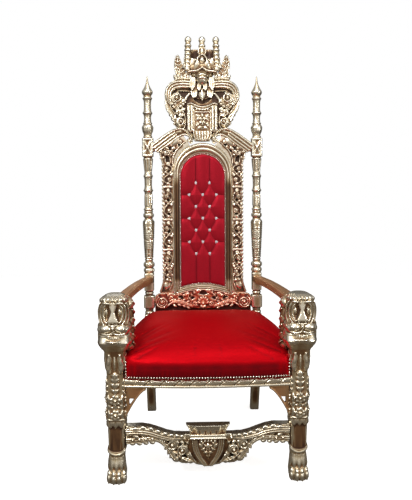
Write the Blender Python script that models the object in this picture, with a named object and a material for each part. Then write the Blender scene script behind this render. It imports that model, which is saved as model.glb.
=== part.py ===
"""A carved and gilded throne with lion-headed arms, a red seat and a tall buttoned back.

Metres, +Z up. The front faces -Y. The origin is on the floor, under the middle of the footprint.
Every wooden piece, soft piece and crystal button is one named object.
"""

import math

import bmesh
import bpy
from mathutils import Vector
from mathutils.geometry import tessellate_polygon

# Overall sizes
TOTAL_HEIGHT = 1.80
OVERALL_DEPTH = 0.76
LEG_SPACING = 0.69
POST_SPACING = 0.512
GAP = 0.0003

# Front legs, from the sole to the top of the lion's curls
LEG_SETBACK = 0.065
LEG_HALF = 0.033
NECK_HEIGHT = 0.484
HEAD_HEIGHT = 0.236
HEAD_HALF_WIDTH = 0.062
HEAD_BACK = 0.070

# Seat frame
RAIL_BOTTOM = 0.365
RAIL_SHOW = 0.0315
RAIL_HEIGHT = 0.075
RAIL_THICKNESS = 0.032
RAIL_REBATE = 0.012
FRONT_BOW = 0.016
BOARD_THICKNESS = 0.012
BRACKET_LENGTH = 0.074
BRACKET_DROP = 0.110
BRACKET_THICKNESS = 0.020

# Cushion
CUSHION_HEIGHT = 0.166
CUSHION_CROWN_Y = 0.100
CUSHION_ROUND = 0.050
CUSHION_OVERHANG = 0.006

# Rear posts
POST_SEAT_Y = 0.287
LEAN_DEGREES = 3.2
LEAN_FROM = 0.44
POST_HALF = 0.0225
BLOCK_HALF = 0.026
REAR_FOOT_HALF = 0.021
POST_TOP = 1.619
ARM_BLOCK_BOTTOM = 0.615
ARM_BLOCK_TOP = 0.698
LOW_BLOCK_BOTTOM = 0.534
LOW_BLOCK_TOP = 0.592
HIGH_BLOCK_BOTTOM = 1.245
HIGH_BLOCK_TOP = 1.333

# Arms
ARM_WIDTH = 0.056
ARM_THICKNESS = 0.036
ARM_BOW = 0.018

# Arched frame of the back and what fills it
FRAME_HALF_WIDTH = 0.136
FRAME_MEMBER = 0.0275
FRAME_TOP = 1.310
FRAME_BOTTOM = 0.598
FRAME_FOOT_RISE = 0.027
FRAME_DEPTH = 0.040
ARCH_STEPS = 14
FOOT_STEPS = 6
PANEL_TOP = 1.2615
PANEL_BOTTOM = 0.628
PANEL_FOOT_RISE = 0.019
PAD_FRONT = 0.0145
PAD_THICKNESS = 0.018
COVER_THICKNESS = 0.010
BUTTON_RADIUS = 0.0048
BUTTON_DEPTH = 0.0050
BUTTON_PITCH_X = 0.064
BUTTON_PITCH_Z = 0.0555
LOWEST_BUTTON = 0.791
BUTTON_ROWS = 7

# Pierced side strips
STRIP_EDGE = 0.187
STRIP_FOOT = 0.604
STRIP_FRONT = 0.014
STRIP_BACK = 0.012

# Lower rail of the back
LOWER_RAIL_BOTTOM = 0.529
APRON_BOTTOM = 0.496
LOWER_RAIL_FRONT = 0.022
LOWER_RAIL_BACK = 0.014
VOLUTE_RADIUS = 0.0345

# Crest rail
CREST_BASE = 1.316
CROWN_FOOT = 1.616
CREST_FRONT = 0.010
CREST_BACK = 0.014

# Stretcher between the front legs
STRETCHER_FRONT = 0.016
STRETCHER_BACK = 0.016
STRETCHER_TOP = 0.216
STRETCHER_BOTTOM = 0.053

LEG_X = LEG_SPACING / 2
LEG_Y = -OVERALL_DEPTH / 2 + LEG_SETBACK
POST_X = POST_SPACING / 2
RAIL_SHOW_TOP = RAIL_BOTTOM + RAIL_SHOW
RAIL_TOP = RAIL_BOTTOM + RAIL_HEIGHT
HEAD_TOP = NECK_HEIGHT + HEAD_HEIGHT
LEAN_SLOPE = math.tan(math.radians(LEAN_DEGREES))
LEG_BACK_Y = LEG_Y + LEG_HALF + GAP
POST_FRONT_Y = POST_SEAT_Y - POST_HALF - GAP

GILT = ((0.72, 0.62, 0.44), 0.32, 1.0)
RED = ((0.62, 0.01, 0.02), 0.55, 0.0)
CRYSTAL = ((0.85, 0.87, 0.92), 0.08, 0.0)
PLYWOOD = ((0.42, 0.29, 0.17), 0.7, 0.0)


def material(name, finish):
    """A plain Principled material of this colour, roughness and metallic value."""
    found = bpy.data.materials.get(name)
    if found is None:
        colour, roughness, metallic = finish
        found = bpy.data.materials.new(name)
        found.use_nodes = True
        shader = found.node_tree.nodes["Principled BSDF"]
        shader.inputs["Base Color"].default_value = (*colour, 1.0)
        shader.inputs["Roughness"].default_value = roughness
        shader.inputs["Metallic"].default_value = metallic
        found.diffuse_color = (*colour, 1.0)
    return found


def lean_y(z):
    """Where the middle plane of the back stands at this height."""
    return POST_SEAT_Y + max(0.0, z - LEAN_FROM) * LEAN_SLOPE


def on_back(x, depth, z):
    """A point of the leaning back; depth is counted backwards from its middle plane."""
    return Vector((x, lean_y(z) + depth, z))


def mirrored(points):
    """Points of a right half, followed back along the left half."""
    return list(points) + [(-x, z) for x, z in reversed(points) if abs(x) > 1e-6]


def smooth_curve(points, steps):
    """Points of a Catmull-Rom curve through these points, with this many steps a span."""
    fixed = [Vector(p) for p in points]
    ends = [2 * fixed[0] - fixed[1]] + fixed + [2 * fixed[-1] - fixed[-2]]
    found = []
    for i in range(1, len(ends) - 2):
        a, b, c, d = ends[i - 1 : i + 3]
        for k in range(steps):
            t = k / steps
            found.append(
                0.5 * (
                    2 * b + (c - a) * t + (
                        2 * a - 5 * b + 4 * c - d
                    ) * t * t + (3 * b - a - 3 * c + d) * t**3
                )
            )
    return found + [fixed[-1]]


def closed_mesh(name, corners, faces):
    """A mesh of these corners and faces, with every face turned outwards."""
    mesh = bpy.data.meshes.new(name)
    mesh.from_pydata([tuple(c) for c in corners], [], faces)
    work = bmesh.new()
    work.from_mesh(mesh)
    bmesh.ops.recalc_face_normals(work, faces=work.faces)
    work.to_mesh(mesh)
    work.free()
    return mesh


def node(name, mesh, finish_name, finish, smooth=True):
    """The named object of one piece, in its material."""
    obj = bpy.data.objects.new(name, mesh)
    bpy.context.scene.collection.objects.link(obj)
    mesh.name = name
    mesh.materials.clear()
    mesh.materials.append(material(finish_name, finish))
    if smooth:
        mesh.shade_smooth()
        mesh.set_sharp_from_angle(angle=math.radians(35))
    return obj


def loft(name, rings):
    """A solid whose skin joins rings of equal count, closed flat at both ends."""
    count = len(rings[0])
    corners = [p for ring in rings for p in ring]
    faces = []
    for i in range(len(rings) - 1):
        for k in range(count):
            n = (k + 1) % count
            faces.append((i * count + k, i * count + n, (i + 1) * count + n, (i + 1) * count + k))
    faces.append(tuple(range(count)))
    last = (len(rings) - 1) * count
    faces.append(tuple(range(last, last + count)))
    return closed_mesh(name, corners, faces)


def plate(name, outline, pockets, front, back, place, floor=0.0):
    """A flat cut-out from depth -front to depth back, with blind pockets down to depth floor.

    place is a function of x, depth and z that puts its points on the throne.
    """
    loops = [outline] + list(pockets)
    flat = [Vector((x, z, 0)) for loop in loops for x, z in loop]
    face = tessellate_polygon([[Vector((x, z, 0)) for x, z in loop] for loop in loops])
    behind = tessellate_polygon([[Vector((x, z, 0)) for x, z in outline]])
    total = len(flat)
    edge = len(outline)
    corners = [place(p.x, -front, p.y) for p in flat]
    corners += [place(p.x, back, p.y) for p in flat[:edge]]
    corners += [place(p.x, floor, p.y) for p in flat[edge:]]
    faces = [tuple(t) for t in face] + [tuple(i + total for i in reversed(t)) for t in behind]
    start = 0
    for loop in loops:
        for k in range(len(loop)):
            a = start + k
            b = start + (k + 1) % len(loop)
            faces.append((a, b, b + total, a + total))
        if start:
            faces.append(tuple(total + start + k for k in range(len(loop))))
        start += len(loop)
    return closed_mesh(name, corners, faces)


def band(name, path, widths, front, back, place, crown=0.0, stop_x=None):
    """A scrolled band along (x, z) points: widths across it, flat behind, raised in its middle by crown.

    With stop_x, its first end is cut upright at that x.
    """
    rings = []
    for i, p in enumerate(path):
        before = Vector(path[max(0, i - 1)])
        after = Vector(path[min(len(path) - 1, i + 1)])
        along = (after - before).normalized()
        across = Vector((-along.y, along.x)) * widths[i] / 2
        here = Vector(p)
        ring = []
        for share, depth in ((-1, back), (1, back), (1, -front), (0, -front - crown), (-1, -front)):
            spot = here + across * share
            if i == 0 and stop_x is not None:
                spot.x = stop_x
            ring.append(place(spot.x, depth, spot.y))
        rings.append(ring)
    return loft(name, rings)


def ball(name, centre, radii, around=6, up=3):
    """A low-sided egg with these three radii."""
    rings = []
    for i in range(1, up):
        tilt = math.pi * i / up - math.pi / 2
        rings.append(
            [
                Vector(
                    (
                        centre[0] + radii[0] * math.cos(tilt) * math.cos(2 * math.pi * k / around),
                        centre[1] + radii[1] * math.cos(tilt) * math.sin(2 * math.pi * k / around),
                        centre[2] + radii[2] * math.sin(tilt),
                    )
                )
                for k in range(around)
            ]
        )
    count = len(rings)
    corners = [p for ring in rings for p in ring]
    corners += [Vector(centre) - Vector((0, 0, radii[2])), Vector(centre) + Vector((0, 0, radii[2]))]
    faces = []
    for i in range(count - 1):
        for k in range(around):
            n = (k + 1) % around
            faces.append((i * around + k, i * around + n, (i + 1) * around + n, (i + 1) * around + k))
    low, high = count * around, count * around + 1
    for k in range(around):
        n = (k + 1) % around
        faces.append((low, n, k))
        faces.append((high, (count - 1) * around + k, (count - 1) * around + n))
    return closed_mesh(name, corners, faces)


def fused(name, meshes):
    """One mesh that is the Boolean union of all these."""
    helpers = bpy.data.collections.new(name + "_parts")
    bpy.context.scene.collection.children.link(helpers)
    base = bpy.data.objects.new(name + "_base", meshes[0])
    bpy.context.scene.collection.objects.link(base)
    for i, mesh in enumerate(meshes[1:]):
        helpers.objects.link(bpy.data.objects.new(f"{name}_part_{i}", mesh))
    union = base.modifiers.new("Union", "BOOLEAN")
    union.operation = "UNION"
    union.operand_type = "COLLECTION"
    union.collection = helpers
    union.solver = "EXACT"
    graph = bpy.context.evaluated_depsgraph_get()
    made = bpy.data.meshes.new_from_object(base.evaluated_get(graph))
    for obj in list(helpers.objects) + [base]:
        bpy.data.objects.remove(obj)
    bpy.data.collections.remove(helpers)
    work = bmesh.new()
    work.from_mesh(made)
    bmesh.ops.remove_doubles(work, verts=work.verts, dist=0.00002)
    bmesh.ops.dissolve_limit(work, angle_limit=math.radians(0.3), verts=work.verts, edges=work.edges)
    bmesh.ops.triangulate(work, faces=work.faces)
    work.to_mesh(made)
    work.free()
    return made


def cut(name, mesh, cutter):
    """This mesh less the cutter."""
    base = bpy.data.objects.new(name + "_base", mesh)
    tool = bpy.data.objects.new(name + "_tool", cutter)
    bpy.context.scene.collection.objects.link(base)
    bpy.context.scene.collection.objects.link(tool)
    less = base.modifiers.new("Cut", "BOOLEAN")
    less.operation = "DIFFERENCE"
    less.object = tool
    less.solver = "EXACT"
    graph = bpy.context.evaluated_depsgraph_get()
    made = bpy.data.meshes.new_from_object(base.evaluated_get(graph))
    bpy.data.objects.remove(base)
    bpy.data.objects.remove(tool)
    return made


def mirror_mesh(mesh):
    """A copy of this mesh on the other side of the middle plane."""
    twin = mesh.copy()
    twin.transform(((-1, 0, 0, 0), (0, 1, 0, 0), (0, 0, 1, 0), (0, 0, 0, 1)))
    twin.flip_normals()
    return twin


def pair(name, mesh, finish_name, finish, smooth=True):
    """The right piece as modelled, and its mirror image on the left."""
    node(name + "_left", mirror_mesh(mesh), finish_name, finish, smooth)
    node(name + "_right", mesh, finish_name, finish, smooth)


def section(centre_x, centre_y, half_x, front, back, z, around=12, squareness=0.0):
    """A horizontal ring between a circle and a square; front and back are its reaches in -Y and +Y."""
    ring = []
    for k in range(around):
        angle = 2 * math.pi * (k + 0.5) / around
        c, s = math.cos(angle), math.sin(angle)
        reach = 1 + squareness * (1 / max(abs(c), abs(s)) - 1)
        ring.append(
            Vector(
                (centre_x + half_x * c * reach, centre_y + (back if s > 0 else front) * s * reach, z)
            )
        )
    return ring


def front_leg():
    """Paw, carved shin and knee, and the lion's head that ends the arm: one carved post."""
    s = LEG_HALF
    toe = LEG_SETBACK
    shaft = [
        (0.0, 0.98 * s, toe * 0.82, s, 0.4),
        (0.030, 1.10 * s, toe * 0.95, 1.06 * s, 0.3),
        (0.066, 1.00 * s, 1.18 * s, 1.0 * s, 0.2),
        (0.092, 0.92 * s, 0.94 * s, 0.92 * s, 0.3),
        (0.112, 1.08 * s, 1.08 * s, 1.02 * s, 0.3),
        (0.124, 0.94 * s, 0.92 * s, 0.94 * s, 0.7),
        (0.222, 1.02 * s, 0.98 * s, s, 0.8),
        (0.227, 1.12 * s, 1.14 * s, 1.08 * s, 0.5),
        (0.240, 1.08 * s, 1.06 * s, 1.04 * s, 0.5),
        (0.262, 1.16 * s, 1.20 * s, 1.10 * s, 0.3),
        (0.296, 1.06 * s, 1.04 * s, 1.04 * s, 0.4),
        (0.326, 1.16 * s, 1.20 * s, 1.06 * s, 0.3),
        (0.352, s, s, s, 0.8),
        (0.450, s, s, s, 0.8),
    ]
    w = HEAD_HALF_WIDTH
    face = LEG_SETBACK
    head = [
        (0.00, 0.55 * w, 0.48 * face, 0.50 * HEAD_BACK, 0.5),
        (0.19, 0.84 * w, 0.76 * face, 0.90 * HEAD_BACK, 0.5),
        (0.255, 0.96 * w, 0.92 * face, 0.97 * HEAD_BACK, 0.5),
        (0.315, 0.95 * w, 0.93 * face, HEAD_BACK, 0.5),
        (0.335, 0.86 * w, 0.74 * face, HEAD_BACK, 0.5),
        (0.385, 0.86 * w, 0.76 * face, HEAD_BACK, 0.5),
        (0.405, 0.98 * w, 0.97 * face, HEAD_BACK, 0.4),
        (0.530, w, face, HEAD_BACK, 0.3),
        (0.700, 0.82 * w, 0.72 * face, HEAD_BACK, 0.6),
        (0.830, 0.84 * w, 0.62 * face, HEAD_BACK, 0.6),
        (0.900, 0.96 * w, 0.80 * face, HEAD_BACK, 0.6),
        (0.965, 0.93 * w, 0.72 * face, 0.95 * HEAD_BACK, 0.6),
        (1.000, 0.78 * w, 0.50 * face, 0.78 * HEAD_BACK, 0.6),
    ]
    rings = [section(LEG_X, LEG_Y, half, front, back, z, 12, sq) for z, half, front, back, sq in shaft]
    rings += [
        section(LEG_X, LEG_Y, half, front, back, NECK_HEIGHT + share * HEAD_HEIGHT, 12, sq)
        for share, half, front, back, sq in head
    ]
    shapes = [loft("leg_core", rings)]

    def at_head(x, depth, share):
        return (LEG_X + x * w, LEG_Y - depth * face, NECK_HEIGHT + share * HEAD_HEIGHT)

    for x in (-0.86, -0.30, 0.30, 0.86):
        reach = 0.80 if abs(x) > 0.5 else 0.95
        shapes.append(
            ball("toe", (LEG_X + x * s, LEG_Y - reach * toe + 0.0155, 0.0205), (0.0105, 0.0165, 0.0202))
        )
    for x in (-0.62, 0.0, 0.62):
        shapes.append(ball("forelock", at_head(x, 0.66, 0.945), (0.020, 0.015, 0.0125)))
    for x in (-0.42, 0.42):
        shapes.append(ball("muzzle", at_head(x, 0.80, 0.455), (0.0225, 0.0150, 0.0180), 8, 4))
    bridge = [
        (0.49, 0.34, 0.90, 1.00), (0.545, 0.30, 0.90, 1.015), (0.70, 0.17, 0.60, 0.86),
        (0.88, 0.34, 0.60, 0.84),
    ]
    rings = []
    for share, half, deep, proud in bridge:
        rings.append(
            [
                Vector(at_head(x, depth, share))
                for x,
                depth in (
                    (-half, deep - 0.2), (half, deep - 0.2), (half, proud - 0.07), (0, proud),
                    (-half, proud - 0.07),
                )
            ]
        )
    shapes.append(loft("nose", rings))
    pair("front_leg", fused("front_leg", shapes), "gilded_wood", GILT)


def post_ring(z, radius, squareness):
    """One ring of the rear post, round or square, on its leaning axis."""
    return section(POST_X, lean_y(z), radius, radius, radius, z, 12, squareness)


def rear_post():
    """The raked rear leg, the square blocks that take the rails and the turned post with its finial."""
    foot_y = OVERALL_DEPTH / 2 - REAR_FOOT_HALF
    rings = []
    for z, share in ((0.0, 1.0), (0.12, 0.50), (0.25, 0.14)):
        y = POST_SEAT_Y + (foot_y - POST_SEAT_Y) * share
        half = REAR_FOOT_HALF + (POST_HALF - REAR_FOOT_HALF) * (1 - share)
        rings.append(section(POST_X, y, half, half, half, z, 12, 1.0))
    b, q = BLOCK_HALF, POST_HALF
    turned = [
        (RAIL_BOTTOM - 0.012, q, 1.0),
        (RAIL_TOP + 0.004, q, 1.0),
        (RAIL_TOP + 0.007, 0.80 * q, 0.0),
        (LOW_BLOCK_BOTTOM - 0.003, 0.92 * q, 0.0),
        (LOW_BLOCK_BOTTOM, b, 1.0),
        (LOW_BLOCK_TOP, b, 1.0),
        (0.604, 0.80 * q, 0.0),
        (ARM_BLOCK_BOTTOM, q, 1.0),
        (ARM_BLOCK_TOP, q, 1.0),
        (ARM_BLOCK_TOP + 0.003, 1.06 * q, 0.0),
        (0.751, 1.12 * q, 0.0),
        (0.762, 0.78 * q, 0.0),
        (0.948, 1.16 * q, 0.0),
        (0.962, 0.90 * q, 0.0),
        (1.000, 1.10 * q, 0.0),
        (1.016, 0.94 * q, 0.0),
        (1.078, 0.80 * q, 0.0),
        (1.089, 1.05 * q, 0.0),
        (1.100, 0.78 * q, 0.0),
        (1.144, 0.88 * q, 0.0),
        (1.156, 1.02 * q, 0.0),
        (1.168, 0.76 * q, 0.0),
        (HIGH_BLOCK_BOTTOM - 0.003, 1.10 * q, 0.0),
        (HIGH_BLOCK_BOTTOM, b, 1.0),
        (HIGH_BLOCK_TOP, b, 1.0),
        (HIGH_BLOCK_TOP + 0.003, 0.90 * q, 0.0),
        (1.352, 0.86 * q, 0.0),
        (1.380, 1.16 * q, 0.0),
        (1.404, 1.00 * q, 0.0),
        (1.412, 0.76 * q, 0.0),
        (1.441, 0.78 * q, 0.0),
        (1.449, 1.06 * q, 0.0),
        (1.457, 0.78 * q, 0.0),
        (1.508, 0.80 * q, 0.0),
        (1.517, 1.06 * q, 0.0),
        (1.528, 0.76 * q, 0.0),
        (1.546, 1.16 * q, 0.0),
        (1.566, 0.76 * q, 0.0),
        (1.584, 0.30 * q, 0.0),
        (POST_TOP, 0.14 * q, 0.0),
    ]
    rings += [post_ring(z, radius, squareness) for z, radius, squareness in turned]
    pair("rear_post", loft("rear_post", rings), "gilded_wood", GILT)


def arm():
    """The arm rail, from the back of the lion's head to the block of the rear post."""
    front = Vector((LEG_X - 0.004, LEG_Y + HEAD_BACK + GAP, HEAD_TOP - 0.048))
    rear_z = (ARM_BLOCK_BOTTOM + ARM_BLOCK_TOP) / 2 + 0.004
    rear = Vector((POST_X, lean_y(rear_z) - POST_HALF - LEAN_SLOPE * ARM_THICKNESS - GAP, rear_z))
    steps = 6
    rings = []
    for i in range(steps + 1):
        t = i / steps
        middle = front.lerp(rear, t)
        middle.x += ARM_BOW * math.sin(math.pi * t)
        middle.z += 0.010 * math.sin(2 * math.pi * t)
        half = ARM_WIDTH / 2 * (1.07 - 0.27 * t - 0.06 * math.sin(math.pi * t))
        tall = ARM_THICKNESS / 2
        outline = (
            (-1, -0.5), (-0.6, -1), (0.6, -1), (1, -0.5), (1, 0.45), (0.55, 0.95), (-0.55, 0.95),
            (-1, 0.45),
        )
        rings.append([middle + Vector((u * half, 0, v * tall)) for u, v in outline])
    pair("arm", loft("arm", rings), "gilded_wood", GILT)


def rail_section(front_y, y_step, x=0.0):
    """The stepped section of a seat rail: a bead and a hollow, set back where the cover wraps it."""
    back_y = front_y + y_step * RAIL_THICKNESS
    set_back = front_y + y_step * RAIL_REBATE
    return [
        Vector((x, front_y, RAIL_BOTTOM + 0.004)),
        Vector((x, front_y + y_step * 0.003, RAIL_BOTTOM)),
        Vector((x, back_y, RAIL_BOTTOM)),
        Vector((x, back_y, RAIL_TOP)),
        Vector((x, set_back, RAIL_TOP)),
        Vector((x, set_back, RAIL_SHOW_TOP)),
        Vector((x, front_y - y_step * 0.003, RAIL_SHOW_TOP)),
        Vector((x, front_y - y_step * 0.004, RAIL_BOTTOM + 0.016)),
        Vector((x, front_y + y_step * 0.003, RAIL_BOTTOM + 0.011)),
    ]


def front_rail_y(x):
    """The face of the bowed front rail."""
    reach = LEG_X - LEG_HALF
    return LEG_Y - 0.024 - FRONT_BOW * math.cos(math.pi / 2 * min(1.0, abs(x) / reach))


def front_stations():
    """The places along the right half of the front rail where its bow is drawn."""
    reach = LEG_X - LEG_HALF - GAP
    return [reach * i / 4 for i in range(5)]


def side_rail_x(y):
    """The outer face of the right side rail, which runs from the front leg to the rear post."""
    t = (y - LEG_Y) / (POST_SEAT_Y - LEG_Y)
    return LEG_X + 0.020 + (POST_X + 0.016 - LEG_X - 0.020) * t


def seat_rails():
    """The four rails of the seat, the front one bowed and moulded."""
    right = [rail_section(front_rail_y(x), 1.0, x) for x in front_stations()]
    left = [[Vector((-p.x, p.y, p.z)) for p in ring] for ring in reversed(right[1:])]
    node("front_rail", loft("front_rail", left + right), "gilded_wood", GILT)
    rings = []
    for y in (LEG_BACK_Y, POST_FRONT_Y):
        rings.append([Vector((side_rail_x(y) - p.y, y, p.z)) for p in rail_section(0.0, 1.0)])
    pair("side_rail", loft("side_rail", rings), "gilded_wood", GILT)
    reach = POST_X - POST_HALF - GAP
    rings = []
    for x in (-reach, reach):
        back = POST_SEAT_Y + RAIL_THICKNESS / 2
        rings.append(
            [
                Vector((x, back, RAIL_BOTTOM)),
                Vector((x, back - RAIL_THICKNESS, RAIL_BOTTOM)),
                Vector((x, back - RAIL_THICKNESS, RAIL_TOP)),
                Vector((x, back, RAIL_TOP)),
            ]
        )
    node("rear_rail", loft("rear_rail", rings), "gilded_wood", GILT)


def knee_bracket():
    """The bracket in the corner of the front leg and the front rail, with a small opening."""
    top = RAIL_BOTTOM - GAP
    start = LEG_X - 1.16 * LEG_HALF - 0.0005
    back = LEG_Y + GAP
    steps = 6
    profile = [(0.0, 0.0), (0.0, -BRACKET_DROP)]
    for i in range(1, steps + 1):
        rest = (1 - i / steps) ** 1.5
        profile.append((BRACKET_LENGTH * i / steps, -0.012 - (BRACKET_DROP - 0.012) * rest))
    profile.append((BRACKET_LENGTH, 0.0))
    rings = []
    for y in (back, back - BRACKET_THICKNESS):
        rings.append([Vector((start - run, y, top + drop)) for run, drop in profile])
    opening = []
    for y in (back + 0.01, back - BRACKET_THICKNESS - 0.01):
        corners = ((0.16, -0.39), (0.16, -0.64), (0.41, -0.39))
        opening.append(
            [Vector((start - BRACKET_LENGTH * r, y, top + BRACKET_DROP * d)) for r, d in corners]
        )
    body = cut("knee_bracket", loft("knee_bracket", rings), loft("opening", opening))
    pair("knee_bracket", body, "gilded_wood", GILT, smooth=False)


def seat_outline(inset):
    """The plan of the seat, notched round the front legs, drawn in by inset."""
    front = [(x, front_rail_y(x) + inset) for x in front_stations()[:4]]
    leg_x = LEG_X - LEG_HALF - 0.001 - inset
    leg_y = LEG_BACK_Y + 0.001 + inset
    rear_y = POST_FRONT_Y - 0.001 - inset
    corner = [
        (leg_x - 0.010, front_rail_y(leg_x) + inset),
        (leg_x, front_rail_y(leg_x) + 0.006 + inset),
        (leg_x, leg_y - 0.004),
        (leg_x + 0.004, leg_y),
        (side_rail_x(leg_y) - inset, leg_y),
    ]
    sides = [(side_rail_x(y) - inset, y) for y in (-0.15, 0.05)]
    rear = [
        (side_rail_x(rear_y) - inset, rear_y - 0.030), (side_rail_x(rear_y) - 0.028 - inset, rear_y),
        (0.11, rear_y),
    ]
    right = front + corner + sides + rear
    return right + [(-x, y) for x, y in reversed(right) if x > 1e-6]


def deck_outline(inset, past_end, rear_wall):
    """The plan over the rails' tops: past_end beyond their ends, rear_wall before the cushion's back."""
    right = [(x, front_rail_y(x) + inset) for x in front_stations()]
    reach = right[-1][0] + past_end
    leg_y = LEG_BACK_Y - past_end
    rear_y = POST_FRONT_Y + past_end
    inner = side_rail_x(rear_y) - RAIL_THICKNESS - 0.002
    right[-1] = (reach, right[-1][1])
    right += [
        (reach, leg_y), (side_rail_x(leg_y) - inset, leg_y), (side_rail_x(rear_y) - inset, rear_y),
    ]
    right += [(inner, rear_y), (inner, POST_FRONT_Y - 0.001 - rear_wall)]
    return right + [(-x, y) for x, y in reversed(right) if x > 1e-6]


def seat():
    """The stuffed seat over its rails, and the board that carries it."""
    flat = deck_outline(RAIL_REBATE + 0.003, -0.003, 0.016)
    low, high = RAIL_TOP + GAP, RAIL_TOP + GAP + BOARD_THICKNESS
    board = loft("seat_board", [[Vector((x, y, z)) for x, y in flat] for z in (low, high)])
    node("seat_board", board, "plywood", PLYWOOD, smooth=False)
    base = RAIL_SHOW_TOP + GAP
    rise = CUSHION_HEIGHT
    sides = (
        (0.0, 0.0),
        (-CUSHION_OVERHANG, 0.13),
        (-CUSHION_OVERHANG, 0.33),
        (0.05 * CUSHION_ROUND, 0.48),
        (0.40 * CUSHION_ROUND, 0.66),
        (CUSHION_ROUND, 0.77),
    )
    rings = []
    for inset, share in sides:
        swell = max(inset, 0.15 * inset)
        ring = [Vector((x, y, base + rise * share)) for x, y in seat_outline(swell)]
        for p in ring:
            if inset < 0 and p.y < LEG_Y + 0.02 and abs(p.x) < LEG_X - LEG_HALF - 0.012:
                p.y += inset
        rings.append(ring)
    crown = Vector((0, CUSHION_CROWN_Y, 0))
    for scale, share in ((0.70, 0.95), (0.34, 1.0)):
        ring = [crown + (p - crown) * scale for p in rings[len(sides) - 1]]
        for p in ring:
            p.z = base + rise * share
        rings.append(ring)
    dome = loft("seat_cushion", rings)
    hollow_plan = deck_outline(RAIL_REBATE - GAP, 0.003, 0.012)
    hollow = loft(
        "hollow", [[Vector((x, y, z)) for x, y in hollow_plan] for z in (base - 0.02, high + GAP)],
    )
    node("seat_cushion", cut("seat_cushion", dome, hollow), "red_cloth", RED)


def frame_outline(half, top, bottom, rise, arc_steps=ARCH_STEPS, foot_steps=FOOT_STEPS):
    """An arch on straight sides with a raised foot, as (x, z) points, counter-clockwise."""
    points = []
    for i in range(foot_steps + 1):
        x = -half + 2 * half * i / foot_steps
        points.append((x, bottom + rise * (1 - (x / half) ** 2)))
    spring = top - half
    for share in (0.35, 0.7):
        points.append((half, bottom + (spring - bottom) * share))
    for i in range(arc_steps + 1):
        angle = math.pi * i / arc_steps
        points.append((half * math.cos(angle), spring + half * math.sin(angle)))
    for share in (0.7, 0.35):
        points.append((-half, bottom + (spring - bottom) * share))
    return points


def back_frame():
    """The moulded arched frame round the red panel."""
    outer = frame_outline(FRAME_HALF_WIDTH, FRAME_TOP, FRAME_BOTTOM, FRAME_FOOT_RISE)
    inner = frame_outline(FRAME_HALF_WIDTH - FRAME_MEMBER, PANEL_TOP, PANEL_BOTTOM, PANEL_FOOT_RISE)
    front, back = 0.55 * FRAME_DEPTH, 0.45 * FRAME_DEPTH
    profile = (
        (0.0, back), (0.0, -0.6 * front), (0.25, -front), (0.75, -0.85 * front), (1.0, -0.5 * front),
        (1.0, back),
    )
    rings = []
    for (ox, oz), (ix, iz) in zip(outer, inner):
        rings.append([on_back(ox + (ix - ox) * t, d, oz + (iz - oz) * t) for t, d in profile])
    count = len(profile)
    corners = [p for ring in rings for p in ring]
    faces = []
    for i in range(len(rings)):
        n = (i + 1) % len(rings)
        for k in range(count):
            m = (k + 1) % count
            faces.append((i * count + k, i * count + m, n * count + m, n * count + k))
    node("back_frame", closed_mesh("back_frame", corners, faces), "gilded_wood", GILT)


def back_panel():
    """The red buttoned pad in the arch, its buttons and the covered board behind it."""
    half = FRAME_HALF_WIDTH - FRAME_MEMBER - GAP
    edge = frame_outline(half, PANEL_TOP - GAP, PANEL_BOTTOM + GAP, PANEL_FOOT_RISE)
    crown = frame_outline(half - 0.009, PANEL_TOP - 0.009, PANEL_BOTTOM + 0.009, PANEL_FOOT_RISE)
    back = PAD_THICKNESS - PAD_FRONT
    rings = [
        [on_back(x, back, z) for x, z in edge], [on_back(x, -0.45 * PAD_FRONT, z) for x, z in edge],
        [on_back(x, -PAD_FRONT, z) for x, z in crown],
    ]
    node("back_pad", loft("back_pad", rings), "red_cloth", RED)
    rings = [
        [on_back(x, back + GAP, z) for x, z in edge],
        [on_back(x, back + GAP + COVER_THICKNESS, z) for x, z in edge],
    ]
    node("back_cover", loft("back_cover", rings), "red_cloth", RED)
    number = 0
    for row in range(BUTTON_ROWS):
        z = LOWEST_BUTTON + BUTTON_PITCH_Z * row
        columns = (-0.5, 0.5) if row % 2 == 0 else (-1, 0, 1)
        for column in columns:
            number += 1
            x = column * BUTTON_PITCH_X
            rings = []
            for share, depth in ((1.0, 0.0), (0.6, 1.0)):
                ring = []
                for k in range(6):
                    angle = 2 * math.pi * k / 6
                    up = z + share * BUTTON_RADIUS * math.sin(angle)
                    ring.append(
                        on_back(
                            x + share * BUTTON_RADIUS * math.cos(angle),
                            -PAD_FRONT - GAP - depth * BUTTON_DEPTH, up,
                        )
                    )
                rings.append(ring)
            node(
                f"back_button_{number:02d}", loft("back_button", rings), "crystal", CRYSTAL,
                smooth=False,
            )


def shoulder_path():
    """The middle line and widths of the crest rail's right shoulder, from the block to its curl."""
    end_x = POST_X - BLOCK_HALF - GAP
    points = [
        (end_x, 1.284), (0.200, 1.305), (0.160, 1.334), (0.122, 1.358), (0.092, 1.366), (0.067, 1.359),
        (0.052, 1.343), (0.049, 1.325), (0.060, 1.317),
    ]
    widths = (0.040, 0.042, 0.042, 0.040, 0.030, 0.023, 0.018, 0.015, 0.012)
    return points, widths


def edge_of_path(points, widths, side, gap):
    """The points of one edge of a band, moved out by gap."""
    found = []
    for i, p in enumerate(points):
        before = Vector(points[max(0, i - 1)])
        after = Vector(points[min(len(points) - 1, i + 1)])
        along = (after - before).normalized()
        across = Vector((-along.y, along.x)) * (widths[i] / 2 + gap) * side
        found.append((p[0] + across.x, p[1] + across.y))
    return found


def arc_points(centre_x, centre_z, radius, start, end, steps):
    """Points of an arc, angles in degrees."""
    found = []
    for i in range(steps + 1):
        angle = math.radians(start + (end - start) * i / steps)
        found.append((centre_x + radius * math.cos(angle), centre_z + radius * math.sin(angle)))
    return found


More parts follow.
